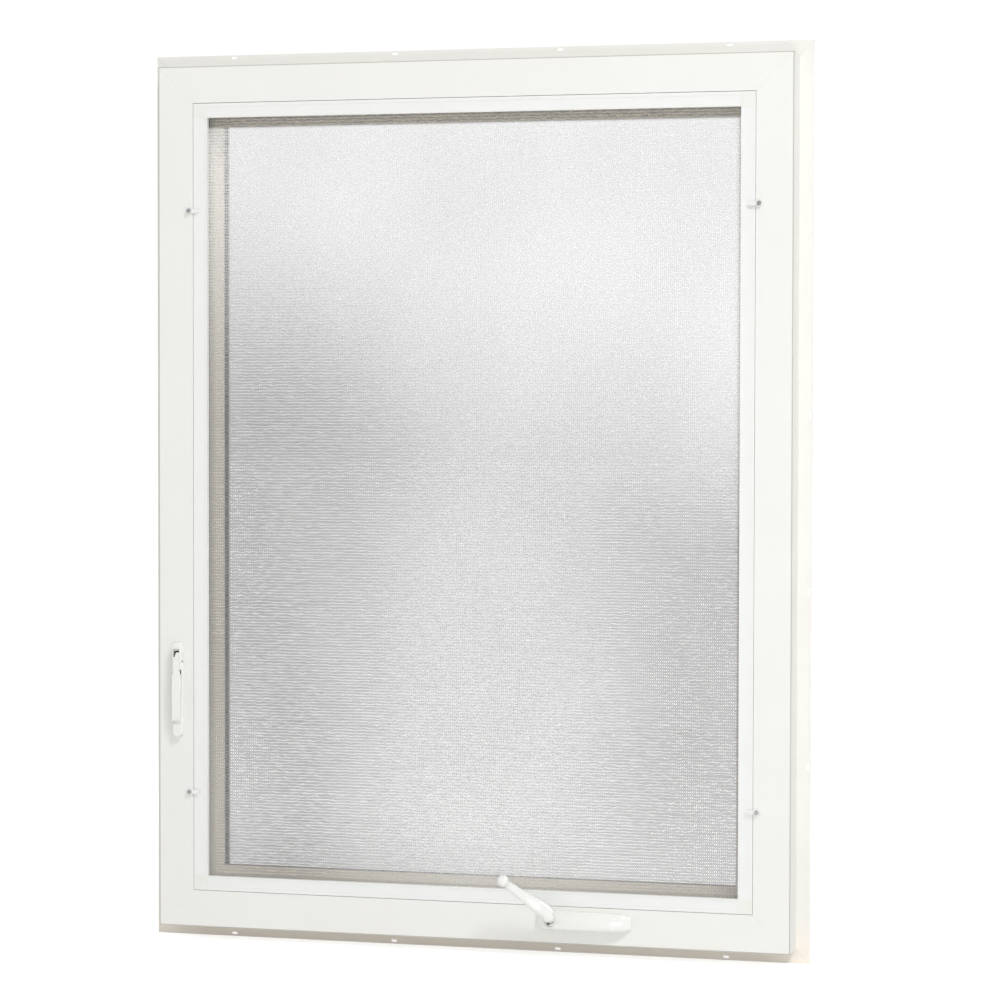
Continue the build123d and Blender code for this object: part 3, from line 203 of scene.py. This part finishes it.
finish_nodes(extruded_pvc("pvc_sash_rail", "#ede4d2", "#e6dcc8", "x", 0.8),
             "sash_rail_top", "sash_rail_bottom", "glazing_beads")
finish_nodes(extruded_pvc("pvc_sash_stile", "#ede4d2", "#e6dcc8", "z", 0.8),
             "sash_stile_lock", "sash_stile_hinge")

# ---- seals, tape and sealant --------------------------------------------------------
# Thermoplastic bulb seal on the stop leg, butyl tape and edge sealant round the glass.
# All are soft and dull, with a fine dusty surface.


def soft_seal(name, tint, shade, roughness):
    """A dull elastomer with a dusty bloom."""
    made, tree, output = material(name)
    place = add(tree, "TexCoord").outputs["Object"]
    dust = add(tree, "TexNoise", {"Vector": place, "Scale": 420.0, "Detail": 4.0})
    skin = add(tree, "Mix", {
        "Factor": dust.outputs[0], "A": colour(tint), "B": colour(shade)}, data_type="RGBA")
    bump = add(tree, "Bump", {"Height": dust.outputs[0], "Strength": 0.2, "Distance": 0.1 * MM})
    rubber = add(tree, "BsdfPrincipled", {
        "Base Color": skin.outputs["Result"], "Roughness": roughness, "IOR": 1.5,
        "Normal": bump.outputs[0]})
    tree.links.new(rubber.outputs[0], output.inputs[0])
    return made


# warm mid grey for the bulb seal, near black for what bonds the glass
finish_nodes(soft_seal("tpe_seal", "#6b665c", "#565248", 0.75), "stop_seals", "setting_blocks")
finish_nodes(soft_seal("butyl_sealant", "#2a2927", "#1d1c1b", 0.8),
             "edge_sealant", "glazing_tape")

# ---- sealed glass -------------------------------------------------------------------
# Two panes of clear float glass on an aluminium spacer. The panes pass nearly all the
# light, and mirror a little of the room.

float_glass, tree, output = material("float_glass")
clear = add(tree, "BsdfTransparent", {"Color": colour("#fcfcfc")})
mirror_film = add(tree, "BsdfGlossy", {"Color": colour("#ffffff"), "Roughness": 0.02})
share = add(tree, "Fresnel", {"IOR": 1.45})
pane = add(tree, "MixShader", {0: share.outputs[0], 1: clear.outputs[0], 2: mirror_film.outputs[0]})
tree.links.new(pane.outputs[0], output.inputs[0])
finish_nodes(float_glass, "glass_room_side", "glass_weather_side")


def bare_metal(name, tint, shade, roughness, grain):
    """Plated or rolled metal: grain is the size of its spangle in millimetres."""
    made, tree, output = material(name)
    place = add(tree, "TexCoord").outputs["Object"]
    spangle = add(tree, "TexVoronoi", {"Vector": place, "Scale": 1000.0 / grain})
    fine = add(tree, "TexNoise", {"Vector": place, "Scale": 900.0, "Detail": 3.0})
    skin = add(tree, "Mix", {
        "Factor": spangle.outputs["Distance"], "A": colour(tint), "B": colour(shade)},
        data_type="RGBA")
    gloss = add(tree, "MapRange", {
        "Value": fine.outputs[0], "To Min": roughness - 0.08, "To Max": roughness + 0.08})
    bump = add(tree, "Bump", {"Height": fine.outputs[0], "Strength": 0.08, "Distance": 0.05 * MM})
    metal = add(tree, "BsdfPrincipled", {
        "Base Color": skin.outputs["Result"], "Metallic": 1.0, "Roughness": gloss.outputs[0],
        "Normal": bump.outputs[0]})
    tree.links.new(metal.outputs[0], output.inputs[0])
    return made


# rolled strip as it left the mill: pale grey with a dull shine
finish_nodes(bare_metal("mill_aluminium", "#c9c8c4", "#b9b8b4", 0.4, 3.0), "glass_spacer")

# ---- insect screen ------------------------------------------------------------------
# A frame of roll-formed aluminium enamelled white, plugged into square nylon corners,
# with bright aluminium wire cloth held by a vinyl cord in a groove at the back.


def enamel(name, tint, shade, roughness, coat, peel):
    """Baked white enamel: smooth, with an orange peel of the given size in millimetres."""
    made, tree, output = material(name)
    place = add(tree, "TexCoord").outputs["Object"]
    dimples = add(tree, "TexNoise", {"Vector": place, "Scale": 1000.0 / peel, "Detail": 2.0})
    cloud = add(tree, "TexNoise", {"Vector": place, "Scale": 25.0, "Detail": 2.0})
    skin = add(tree, "Mix", {
        "Factor": cloud.outputs[0], "A": colour(tint), "B": colour(shade)}, data_type="RGBA")
    gloss = add(tree, "MapRange", {
        "Value": cloud.outputs[0], "To Min": roughness - 0.04, "To Max": roughness + 0.06})
    bump = add(tree, "Bump", {
        "Height": dimples.outputs[0], "Strength": 0.1, "Distance": 0.05 * MM})
    paint = add(tree, "BsdfPrincipled", {
        "Base Color": skin.outputs["Result"], "Roughness": gloss.outputs[0], "IOR": 1.5,
        "Coat Weight": coat, "Coat Roughness": 0.12, "Normal": bump.outputs[0]})
    tree.links.new(paint.outputs[0], output.inputs[0])
    return made


# cool white enamel on the bars, softer unpainted nylon, and a grey cord
finish_nodes(enamel("screen_enamel", "#f4f5f3", "#eff0ee", 0.3, 0.2, 2.5), "screen_bars")
finish_nodes(enamel("moulded_nylon", "#f3f3ee", "#ebebe5", 0.42, 0.0, 4.0), "screen_corners")
finish_nodes(soft_seal("vinyl_cord", "#b4b4b0", "#a09f9a", 0.55), "screen_spline")

# Wire cloth of 1.4 mm mesh. Its threads are too fine to show, so the weave is drawn with
# weft rows 4.1 mm and warp rows 2.8 mm apart, as the broken rows the cloth gives the eye.
WEFT, WARP = 4.1 * MM, 2.8 * MM
SLACK = 0.12 * MM
COLUMNS, ROWS = 72, 100
low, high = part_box("screen_mesh")
points = []
for row in range(ROWS + 1):
    for column in range(COLUMNS + 1):
        x = low.x + (high.x - low.x) * column / COLUMNS
        z = low.z + (high.z - low.z) * row / ROWS
        edge = min(column, COLUMNS - column, row, ROWS - row)
        slack = SLACK * noise(Vector((x * 9, 0, z * 9))) if edge > 1 else 0.0
        points.append((x, (low.y + high.y) / 2 + slack, z))
faces = []
for row in range(ROWS):
    for column in range(COLUMNS):
        first = row * (COLUMNS + 1) + column
        faces.append((first, first + 1, first + COLUMNS + 2, first + COLUMNS + 1))
sheet = bpy.data.meshes.new("screen_cloth")
sheet.from_pydata(points, [], faces)
sheet.polygons.foreach_set("use_smooth", [True] * len(faces))
cloth = bpy.data.objects.new("screen_cloth", sheet)
bpy.context.scene.collection.objects.link(cloth)

# how far the rows wander and break, in radians of one row
WANDER, BREAK = 3.0, 9.0
# cover of the cloth: its mean, and the rise over each weft and warp thread
COVER, WEFT_COVER, WARP_COVER = 0.62, 0.18, 0.08
OPEN_TO_LIGHT = 0.25
# painted light on the cloth: its level at the head, its fall below, the fall's slant and end, and
# the soft cloud
HEAD_SHEEN, FALL, SLANT, FALL_END, SHEEN_CLOUD = 0.81, -0.53, 0.3, 0.38, 0.3
# the upright bands of painted light and shade: depth, radians for each metre across, and shift
BAND, BAND_TURNS, BAND_SHIFT = 0.17, -9.6, 0.38
# the shadow under the head: its tone, and where it starts and ends below the frame's top
SHADOW, SHADOW_FULL, SHADOW_END = 0.12, 84 * MM, 88 * MM

wire_cloth, tree, output = material("bright_aluminium_wire")
place = add(tree, "TexCoord").outputs["Object"]
axes = add(tree, "SeparateXYZ", {0: place})
sway = add(tree, "TexNoise", {"Vector": place, "Scale": 16.0, "Detail": 2.0})
stagger = add(tree, "Mapping", {0: place, "Scale": (110, 1, 280)})
slub = add(tree, "TexNoise", {"Vector": stagger.outputs[0], "Scale": 1.0, "Detail": 2.0})
sway_turns = add(tree, "Math", {0: sway.outputs[0], 1: WANDER}, operation="MULTIPLY")
slub_turns = add(tree, "Math", {0: slub.outputs[0], 1: BREAK, 2: sway_turns.outputs[0]},
                 operation="MULTIPLY_ADD")
weft_turns = add(tree, "Math", {
    0: axes.outputs["Z"], 1: 2 * math.pi / WEFT, 2: slub_turns.outputs[0]},
    operation="MULTIPLY_ADD")
weft = add(tree, "Math", {0: weft_turns.outputs[0]}, operation="SINE")
warp_turns = add(tree, "Math", {
    0: axes.outputs["X"], 1: 2 * math.pi / WARP, 2: sway_turns.outputs[0]},
    operation="MULTIPLY_ADD")
warp = add(tree, "Math", {0: warp_turns.outputs[0]}, operation="SINE")
weft_part = add(tree, "Math", {0: weft.outputs[0], 1: WEFT_COVER, 2: COVER},
                operation="MULTIPLY_ADD")
woven = add(tree, "Math", {0: warp.outputs[0], 1: WARP_COVER, 2: weft_part.outputs[0]},
            operation="MULTIPLY_ADD", use_clamp=True)
# seen from the front the threads close up; light at a slant still passes between them
seen = add(tree, "LightPath").outputs["Is Camera Ray"]
closing = add(tree, "MapRange", {"Value": seen, "To Min": OPEN_TO_LIGHT, "To Max": 1.0})
cover_share = add(tree, "Math", {0: woven.outputs[0], 1: closing.outputs[0]},
                  operation="MULTIPLY")
# painted light and shade, where the cloth catches the room: pale at the head, then a pale
# band up the middle between two darker ones
slanted = add(tree, "Math", {0: axes.outputs["X"], 1: SLANT, 2: axes.outputs["Z"]},
              operation="MULTIPLY_ADD")
fall = add(tree, "MapRange", {
    "Value": slanted.outputs[0], "From Min": 0.0, "From Max": FALL_END,
    "To Min": 1.0, "To Max": 0.0}, interpolation_type="SMOOTHSTEP")
aside = add(tree, "Math", {0: axes.outputs["X"], 1: BAND_TURNS, 2: BAND_SHIFT},
            operation="MULTIPLY_ADD")
band = add(tree, "Math", {0: aside.outputs[0]}, operation="COSINE")
drift = add(tree, "Mapping", {0: place, "Scale": (3.0, 1.0, 2.2)})
light_cloud = add(tree, "TexNoise", {"Vector": drift.outputs[0], "Scale": 1.6, "Detail": 1.0})
banded = add(tree, "Math", {0: band.outputs[0], 1: BAND, 2: FALL}, operation="MULTIPLY_ADD")
darker = add(tree, "Math", {0: banded.outputs[0], 1: fall.outputs[0], 2: HEAD_SHEEN},
             operation="MULTIPLY_ADD")
painted_sheen = add(tree, "Math", {0: light_cloud.outputs[0], 1: SHEEN_CLOUD, 2: darker.outputs[0]},
           operation="MULTIPLY_ADD", use_clamp=True)
# the frame's head keeps the light off the top of the cloth
shaded = add(tree, "MapRange", {
    "Value": axes.outputs["Z"], "From Min": HALF_HEIGHT - SHADOW_END,
    "From Max": HALF_HEIGHT - SHADOW_FULL, "To Min": 1.0, "To Max": SHADOW})
painted_light_and_shadow = add(tree, "Math", {0: painted_sheen.outputs[0], 1: shaded.outputs[0]}, operation="MULTIPLY")
# the wire's colour carries the painted light and shadow, from dark grey to near white
shine = add(tree, "Mix", {
    "Factor": painted_light_and_shadow.outputs[0], "A": colour("#606060"), "B": colour("#f3f3f3")},
    data_type="RGBA")
rough = add(tree, "MapRange", {
    "Value": weft.outputs[0], "From Min": -1.0, "To Min": 0.36, "To Max": 0.5})
relief = add(tree, "Math", {0: weft.outputs[0], 1: warp.outputs[0]}, operation="ADD")
bump = add(tree, "Bump", {"Height": relief.outputs[0], "Strength": 0.35, "Distance": 0.3 * MM})
wire = add(tree, "BsdfPrincipled", {
    "Base Color": shine.outputs["Result"], "Metallic": 0.35, "Roughness": rough.outputs[0],
    "Alpha": cover_share.outputs[0], "Normal": bump.outputs[0]})
tree.links.new(wire.outputs[0], output.inputs[0])
cloth.data.materials.append(wire_cloth)
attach(cloth, "frame")
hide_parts("screen_mesh")

# ---- screen clips -------------------------------------------------------------------
# Four turn buttons that hold the screen in the frame, die cast in zinc and enamelled
# white. Each turns on a slotted, zinc-plated screw.

# glossy warm white that softens every cast edge
hardware_enamel = enamel("hardware_enamel", "#f4f4f1", "#efefec", 0.26, 0.4, 1.6)
# bright grey with a fine spangle
zinc_plate = bare_metal("zinc_plate", "#c4c6c8", "#aeb1b4", 0.34, 1.2)
finish_nodes(hardware_enamel, "screen_clip_top_lock", "screen_clip_top_hinge",
             "screen_clip_bottom_lock", "screen_clip_bottom_hinge")
finish_nodes(zinc_plate, "clip_screws")

# ---- concealed hinges ---------------------------------------------------------------
# Steel tracks, arms and posts, zinc plated after stamping, with nylon shoes that slide
# in the tracks.

finish_nodes(zinc_plate, "hinge_tracks", "track_anchors", "support_arms", "arm_posts",
             "sash_arms", "frame_hardware_screws", "sash_hardware_screws", "operator_guide",
             "keepers")
# undyed moulded nylon: ivory and half dull, without a coat
finish_nodes(enamel("natural_nylon", "#e6e2d6", "#dad5c8", 0.5, 0.0, 3.0),
             "hinge_shoes", "arm_roller", "tie_bar_guides")

# ---- operator works -----------------------------------------------------------------
# A zinc die-cast housing holds a hardened steel worm in a sintered bronze bushing. The
# worm turns a toothed arm stamped from plated steel.

# dark and smooth from hardening, a dull grey casting, and a brown, grainy bronze
hard_steel = bare_metal("hardened_steel", "#7d7c7a", "#5f5e5c", 0.38, 0.8)
finish_nodes(bare_metal("raw_diecast", "#8f908f", "#7c7d7c", 0.55, 1.5), "operator_housing")
finish_nodes(zinc_plate, "gear_arm", "roller_rivet")
finish_nodes(hard_steel, "worm_shaft", "gear_pivot_pin", "crank_set_screw")
finish_nodes(bare_metal("sintered_bronze", "#a98657", "#8d6c42", 0.45, 0.6), "worm_bushing")

# ---- operator cover -----------------------------------------------------------------
# A moulded shell, white and glossy, that snaps over the housing. It swells round the
# stud and falls away towards its far end, with a crisp lower edge.

crank = joint["crank_turn"]
HUB, STUD = Vector(crank["pos_m"]), Vector(crank["axis"]).normalized()
RIGHT = Vector((1, 0, 0))
OVER = RIGHT.cross(STUD)
OVER = OVER * -1 if OVER.z < 0 else OVER


def smooth_values(stations, count):
    """Rows of numbers eased between the given stations, whose first number is the run."""
    stations = np.array(stations, float)
    runs = np.linspace(stations[0, 0], stations[-1, 0], count)
    slopes = np.gradient(stations[:, 1:], stations[:, 0], axis=0)
    rows = []
    for run in runs:
        index = int(np.clip(np.searchsorted(stations[:, 0], run) - 1, 0, len(stations) - 2))
        step = stations[index + 1, 0] - stations[index, 0]
        t = (run - stations[index, 0]) / step
        start, end = stations[index, 1:], stations[index + 1, 1:]
        value = ((2 * t**3 - 3 * t**2 + 1) * start + (t**3 - 2 * t**2 + t) * step * slopes[index]
                 + (3 * t**2 - 2 * t**3) * end + (t**3 - t**2) * step * slopes[index + 1])
        rows.append((run, *value))
    return rows


def skin_rings(shape, rings):
    """Joins rings of points, all with the same count, into a closed tube in a bmesh."""
    made_rings = [[shape.verts.new(point) for point in ring] for ring in rings]
    count = len(made_rings[0])
    for first, second in zip(made_rings, made_rings[1:]):
        for i in range(count):
            j = (i + 1) % count
            shape.faces.new((first[i], first[j], second[j], second[i]))
    shape.faces.new(list(reversed(made_rings[0])))
    shape.faces.new(made_rings[-1])


def piece(name, shape, finish):
    """A named object from a bmesh, with smooth faces and one finish."""
    bmesh.ops.recalc_face_normals(shape, faces=shape.faces)
    data = bpy.data.meshes.new(name)
    shape.to_mesh(data)
    shape.free()
    data.polygons.foreach_set("use_smooth", [True] * len(data.polygons))
    data.materials.append(finish)
    made_piece = bpy.data.objects.new(name, data)
    bpy.context.scene.collection.objects.link(made_piece)
    return made_piece


def cast_blend(target, voxel, passes):
    """Fuses overlapping forms into one casting with soft fillets between them."""
    fuse = target.modifiers.new("fuse", "REMESH")
    fuse.mode, fuse.voxel_size, fuse.use_smooth_shade = "VOXEL", voxel, True
    soften = target.modifiers.new("soften", "SMOOTH")
    soften.factor, soften.iterations = 0.5, passes
    bpy.context.view_layer.update()
    finish = target.data.materials[0]
    evaluated = target.evaluated_get(bpy.context.evaluated_depsgraph_get())
    target.data = bpy.data.meshes.new_from_object(evaluated)
    target.modifiers.clear()
    target.data.materials.clear()
    target.data.materials.append(finish)
    target.data.polygons.foreach_set("use_smooth", [True] * len(target.data.polygons))


SILL_EDGE = -HALF_HEIGHT
COVER_BACK = FACE_Y - 0.1 * MM
# run from the stud, stand-off from the face, low edge and high edge above the frame's edge
COVER_RUN = [
    (-24.0, 3.0, 25.0, 40.0), (-18.0, 9.0, 21.0, 43.6), (-8.0, 13.8, 19.0, 45.2),
    (20.0, 16.4, 18.2, 45.6), (60.0, 15.8, 18.2, 45.4), (88.0, 12.8, 19.0, 44.4),
    (102.0, 8.6, 20.6, 42.4), (109.0, 3.5, 22.6, 39.5),
]
# shares of the stand-off and of the way from the low edge to the high one
COVER_SWELL = [(0.86, 0.10), (0.97, 0.16), (1.0, 0.26), (0.99, 0.45), (0.95, 0.62),
               (0.86, 0.78), (0.68, 0.92)]
# distance along the stud from its end, and radius
BOSS_PROFILE = [(-32.0, 10.4), (-20.0, 10.4), (-17.0, 10.4), (-16.2, 10.1), (-16.0, 9.4),
                (-16.4, 8.8), (-17.4, 8.5), (-22.0, 8.3), (-23.0, 7.6), (-23.0, 0.5)]
shell = bmesh.new()
rings = []
for run, out, bottom, top in smooth_values(COVER_RUN, 56):
    swell = [(share_out, bottom + share_up * (top - bottom)) for share_out, share_up in COVER_SWELL]
    profile = [(0.0, bottom), (0.45, bottom + 0.2), *swell,
               (0.42, top - 0.5), (0.2, top - 0.1), (0.0, top)]
    rings.append([Vector((HUB.x + run * MM, COVER_BACK - share_out * out * MM,
                          SILL_EDGE + level * MM)) for share_out, level in profile])
skin_rings(shell, rings)
# the boss ends in an open mouth round the stud
boss_rings = []
for run, radius in BOSS_PROFILE:
    boss_rings.append([
        HUB + STUD * run * MM + (RIGHT * math.cos(a) + OVER * math.sin(a)) * radius * MM
        for a in np.linspace(0, 2 * math.pi, 48, endpoint=False)])
skin_rings(shell, boss_rings)
# glossy from a polished mould, with broad, faint waves
gloss_plastic = enamel("moulded_abs", "#f4f4f1", "#f0f0ed", 0.22, 0.3, 5.0)
cover = piece("cover_shell", shell, gloss_plastic)
cast_blend(cover, 0.7 * MM, 5)
# the flat back lies on the sill's face
for vertex in cover.data.vertices:
    if vertex.co.y > COVER_BACK:
        vertex.co.y = COVER_BACK
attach(cover, "frame")
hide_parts("operator_cover")

# ---- crank handle -------------------------------------------------------------------
# Zinc die casting in white enamel: a round hub on the splined stud, and an arm that
# rises and narrows to the knob's post.

knob_joint = joint["knob_spin"]
KNOB = Vector(knob_joint["pos_m"])
rise_all = (KNOB - HUB).dot(STUD)
OUTWARD = (KNOB - HUB - STUD * rise_all).normalized()
REACH = (KNOB - HUB).dot(OUTWARD)
SIDE = OUTWARD.cross(STUD)
# reach from the stud, rise along it, width, thickness and the offset of the arm's middle
HANDLE_RUN = [(-1.5, 1.4, 16.0, 11.0, 4.6), (6.0, 3.0, 19.0, 11.0, 4.9),
              (16.0, 5.6, 19.5, 10.0, 4.2), (34.0, 13.8, 16.0, 8.4, 2.4),
              (52.0, 24.4, 12.4, 7.4, 1.0), (66.0, 34.6, 10.4, 6.4, 0.0)]
# powers that square off an oval: the sides, the top and the underside
SIDE_POWER, TOP_POWER, UNDER_POWER = 0.62, 0.8, 0.5
handle = bmesh.new()
stations = smooth_values(HANDLE_RUN, 40)
last = len(stations) - 1
rings = []
for index, (out, rise, width, thick, offset) in enumerate(stations):
    ahead, behind = stations[min(index + 1, last)], stations[max(index - 1, 0)]
    along = (OUTWARD * (ahead[0] - behind[0]) + STUD * (ahead[1] - behind[1])).normalized()
    lift = SIDE.cross(along)
    lift = lift if lift.dot(STUD) > 0 else lift * -1
    centre = HUB + (OUTWARD * out + STUD * rise + SIDE * offset) * MM
    ring = []
    for a in np.linspace(0, 2 * math.pi, 28, endpoint=False):
        c, s = math.cos(a), math.sin(a)
        flat = math.copysign(abs(c) ** SIDE_POWER, c) * width / 2
        tall = math.copysign(abs(s) ** (TOP_POWER if s > 0 else UNDER_POWER), s) * thick / 2
        ring.append(centre + SIDE * flat * MM + lift * tall * MM)
    rings.append(ring)
skin_rings(handle, rings)


def turned(shape, base, axis, profile, sides=48):
    """A turned form: the profile is a list of (height, radius) in millimetres."""
    first = axis.cross(Vector((0.3, 0.2, 0.9))).normalized()
    second = axis.cross(first)
    angles = np.linspace(0, 2 * math.pi, sides, endpoint=False)
    skin_rings(shape, [
        [base + axis * tall * MM + (first * math.cos(a) + second * math.sin(a)) * radius * MM
         for a in angles] for tall, radius in profile])


turned(handle, HUB + SIDE * 1.2 * MM, STUD, [
    (-6.8, 6.2), (-6.3, 6.9), (4.5, 7.1), (6.0, 6.6), (6.8, 4.6), (7.0, 2.5)])
turned(handle, KNOB, STUD, [(-14.0, 5.0), (-9.2, 5.2), (-8.2, 4.9)])
handle = piece("handle_casting", handle, hardware_enamel)
cast_blend(handle, 0.55 * MM, 6)
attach(handle, "crank")
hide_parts("crank_handle")

# ---- crank knob ---------------------------------------------------------------------
# A small knob cast in zinc and enamelled like the handle. It widens towards a domed end
# and spins on a plated pin riveted to the arm.

knob = bmesh.new()
turned(knob, KNOB + STUD * -7.7 * MM, STUD, [
    (0.0, 4.6), (0.1, 5.5), (0.5, 5.9), (1.6, 6.0), (3.5, 6.3), (6.0, 6.9), (9.0, 7.7),
    (11.5, 8.1), (13.4, 8.0), (15.2, 7.2), (16.5, 5.6), (17.2, 3.4), (17.4, 1.2),
    (17.4, 0.6)], 64)
knob = piece("knob_casting", knob, hardware_enamel)
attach(knob, "knob")
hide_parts("crank_knob")
finish_nodes(zinc_plate, "knob_pin")

# ---- lock ---------------------------------------------------------------------------
# A lever in a slotted escutcheon, both die cast and enamelled. The lever lies down
# along the plate and works a plated steel bar inside the jamb.

lever_joint = joint["lock_lever_turn"]
PIVOT = Vector(lever_joint["pos_m"])
# stand-off from the pivot (room side is negative) and height along the jamb
LEVER_OUTLINE = [
    (0.0, 2.2), (-7.6, 1.6), (-8.3, -5.0), (-8.0, -12.0), (-7.8, -36.0), (-7.5, -60.0),
    (-7.3, -76.0), (-7.0, -80.4), (-6.4, -82.8), (-5.2, -84.2), (-4.4, -83.4), (-4.3, -80.0),
    (-4.3, -60.0), (-4.3, -41.0), (-1.7, -36.4), (-1.6, -24.0), (-0.4, -12.0), (0.8, -6.0),
    (1.4, -2.0),
]
PADDLE_START = -22.0
PADDLE_OUTLINE = [(-8.0, -17.7), *[point for point in LEVER_OUTLINE if point[1] < PADDLE_START],
                  (-1.5, -17.7)]
CROWN_OUTLINE = [(0.0, 2.0), (-7.6, 1.4), (-8.0, 5.0), (-7.4, 8.6), (-6.0, 11.2),
                 (-3.8, 12.7), (0.0, 13.0)]
VISOR_OUTLINE = [(-4.0, 2.0), (-7.6, 1.4), (-8.0, 4.6), (-6.2, 6.8), (-4.4, 6.6)]
# each outline, with where it starts and ends across the lever
LEVER_SLABS = [(LEVER_OUTLINE, -4.3, 4.3), (PADDLE_OUTLINE, -6.2, 6.2),
               (CROWN_OUTLINE, -1.0, 4.3), (VISOR_OUTLINE, -4.3, -0.6)]
lever = bmesh.new()
for outline, near, far in LEVER_SLABS:
    sides = [[lever.verts.new(PIVOT + Vector((offset, out, tall)) * MM) for out, tall in outline]
             for offset in (near, far)]
    lever.faces.new(sides[0])
    lever.faces.new(list(reversed(sides[1])))
    for i in range(len(outline)):
        j = (i + 1) % len(outline)
        lever.faces.new((sides[0][j], sides[0][i], sides[1][i], sides[1][j]))
turned(lever, PIVOT + Vector((-0.4, 0, 0)) * MM, RIGHT, [(0.0, 6.8), (4.7, 6.8)], 40)
lever = piece("lever_casting", lever, hardware_enamel)
cast_blend(lever, 0.5 * MM, 4)
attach(lever, "lock_lever")
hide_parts("lock_lever")
finish_nodes(hardware_enamel, "lock_escutcheon", "lock_case", "lock_screws")
finish_nodes(hard_steel, "lever_pivot_pin", "lever_drive_pin")
finish_nodes(zinc_plate, "tie_bar", "tie_bar_rollers", "roller_rivets")

# ---- studio -------------------------------------------------------------------------
# Pale floor, white surround, one large soft light from the upper right, and two weak
# ones from the left and from low down.

# strengths that the camera meets, and that the object is lit by
FLOOR_SEEN, SKY_SEEN, SKY_LIGHT = 0.6, 1.05, 0.54

floor_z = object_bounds()[0].z
floor = bmesh.new()
bmesh.ops.create_grid(floor, x_segments=2, y_segments=2, size=30)
floor_paint, tree, output = material("pale_floor")
grit = add(tree, "TexNoise", {"Scale": 60.0, "Detail": 3.0})
shade = add(tree, "Mix", {
    "Factor": grit.outputs[0], "A": colour("#fbfbfa"), "B": colour("#f6f6f5")},
    data_type="RGBA")
seen = add(tree, "LightPath").outputs["Is Camera Ray"]
lift = add(tree, "MapRange", {"Value": seen, "To Min": 0.0, "To Max": FLOOR_SEEN})
paint = add(tree, "BsdfPrincipled", {
    "Base Color": shade.outputs["Result"], "Roughness": 0.9,
    "Emission Color": colour("#ffffff"), "Emission Strength": lift.outputs[0]})
tree.links.new(paint.outputs[0], output.inputs[0])
floor = piece("pale_floor", floor, floor_paint)
floor.location.z = floor_z - 0.2 * MM

surround = bpy.data.worlds.new("white_surround")
bpy.context.scene.world = surround
surround.use_nodes = True
tree = surround.node_tree
tree.nodes.clear()
seen = add(tree, "LightPath").outputs["Is Camera Ray"]
strength = add(tree, "MapRange", {"Value": seen, "To Min": SKY_LIGHT, "To Max": SKY_SEEN})
sky = add(tree, "Background", {"Color": colour("#ffffff"), "Strength": strength.outputs[0]})
tree.links.new(sky.outputs[0], add(tree, "OutputWorld").inputs[0])


def lamp(name, place, aim, width, power):
    """A square soft light."""
    data = bpy.data.lights.new(name, "AREA")
    data.size, data.energy = width, power
    made_lamp = bpy.data.objects.new(name, data)
    bpy.context.scene.collection.objects.link(made_lamp)
    made_lamp.location = place
    made_lamp.rotation_euler = (Vector(aim) - Vector(place)).to_track_quat("-Z", "Y").to_euler()


lamp("key_light", (2.6, -2.7, 3.9), (0, 0, 0), 1.2, 120)
lamp("fill_light", (-3.0, -3.4, 1.0), (0, 0, 0), 2.5, 10)
lamp("low_light", (0.9, -2.6, -0.5), (0, 0, -0.62), 0.8, 14)

YAW, PITCH, ROLL = (math.radians(angle) for angle in (15.407, -1.935, -0.113))
lens = bpy.data.cameras.new("viewpoint")
lens.lens, lens.sensor_width, lens.clip_end = 117.24, 36.0, 100.0
viewpoint = bpy.data.objects.new("viewpoint", lens)
bpy.context.scene.collection.objects.link(viewpoint)
turn = Matrix.Rotation(YAW, 3, "Z") @ Matrix.Rotation(PITCH, 3, "X") @ Matrix.Rotation(ROLL, 3, "Y")
viewpoint.matrix_world = (turn @ Matrix.Rotation(math.pi / 2, 3, "X")).to_4x4()
viewpoint.location = (1.228465, -4.332806, 0.152546)
bpy.context.scene.camera = viewpoint
bpy.context.scene.view_settings.view_transform = "Standard"
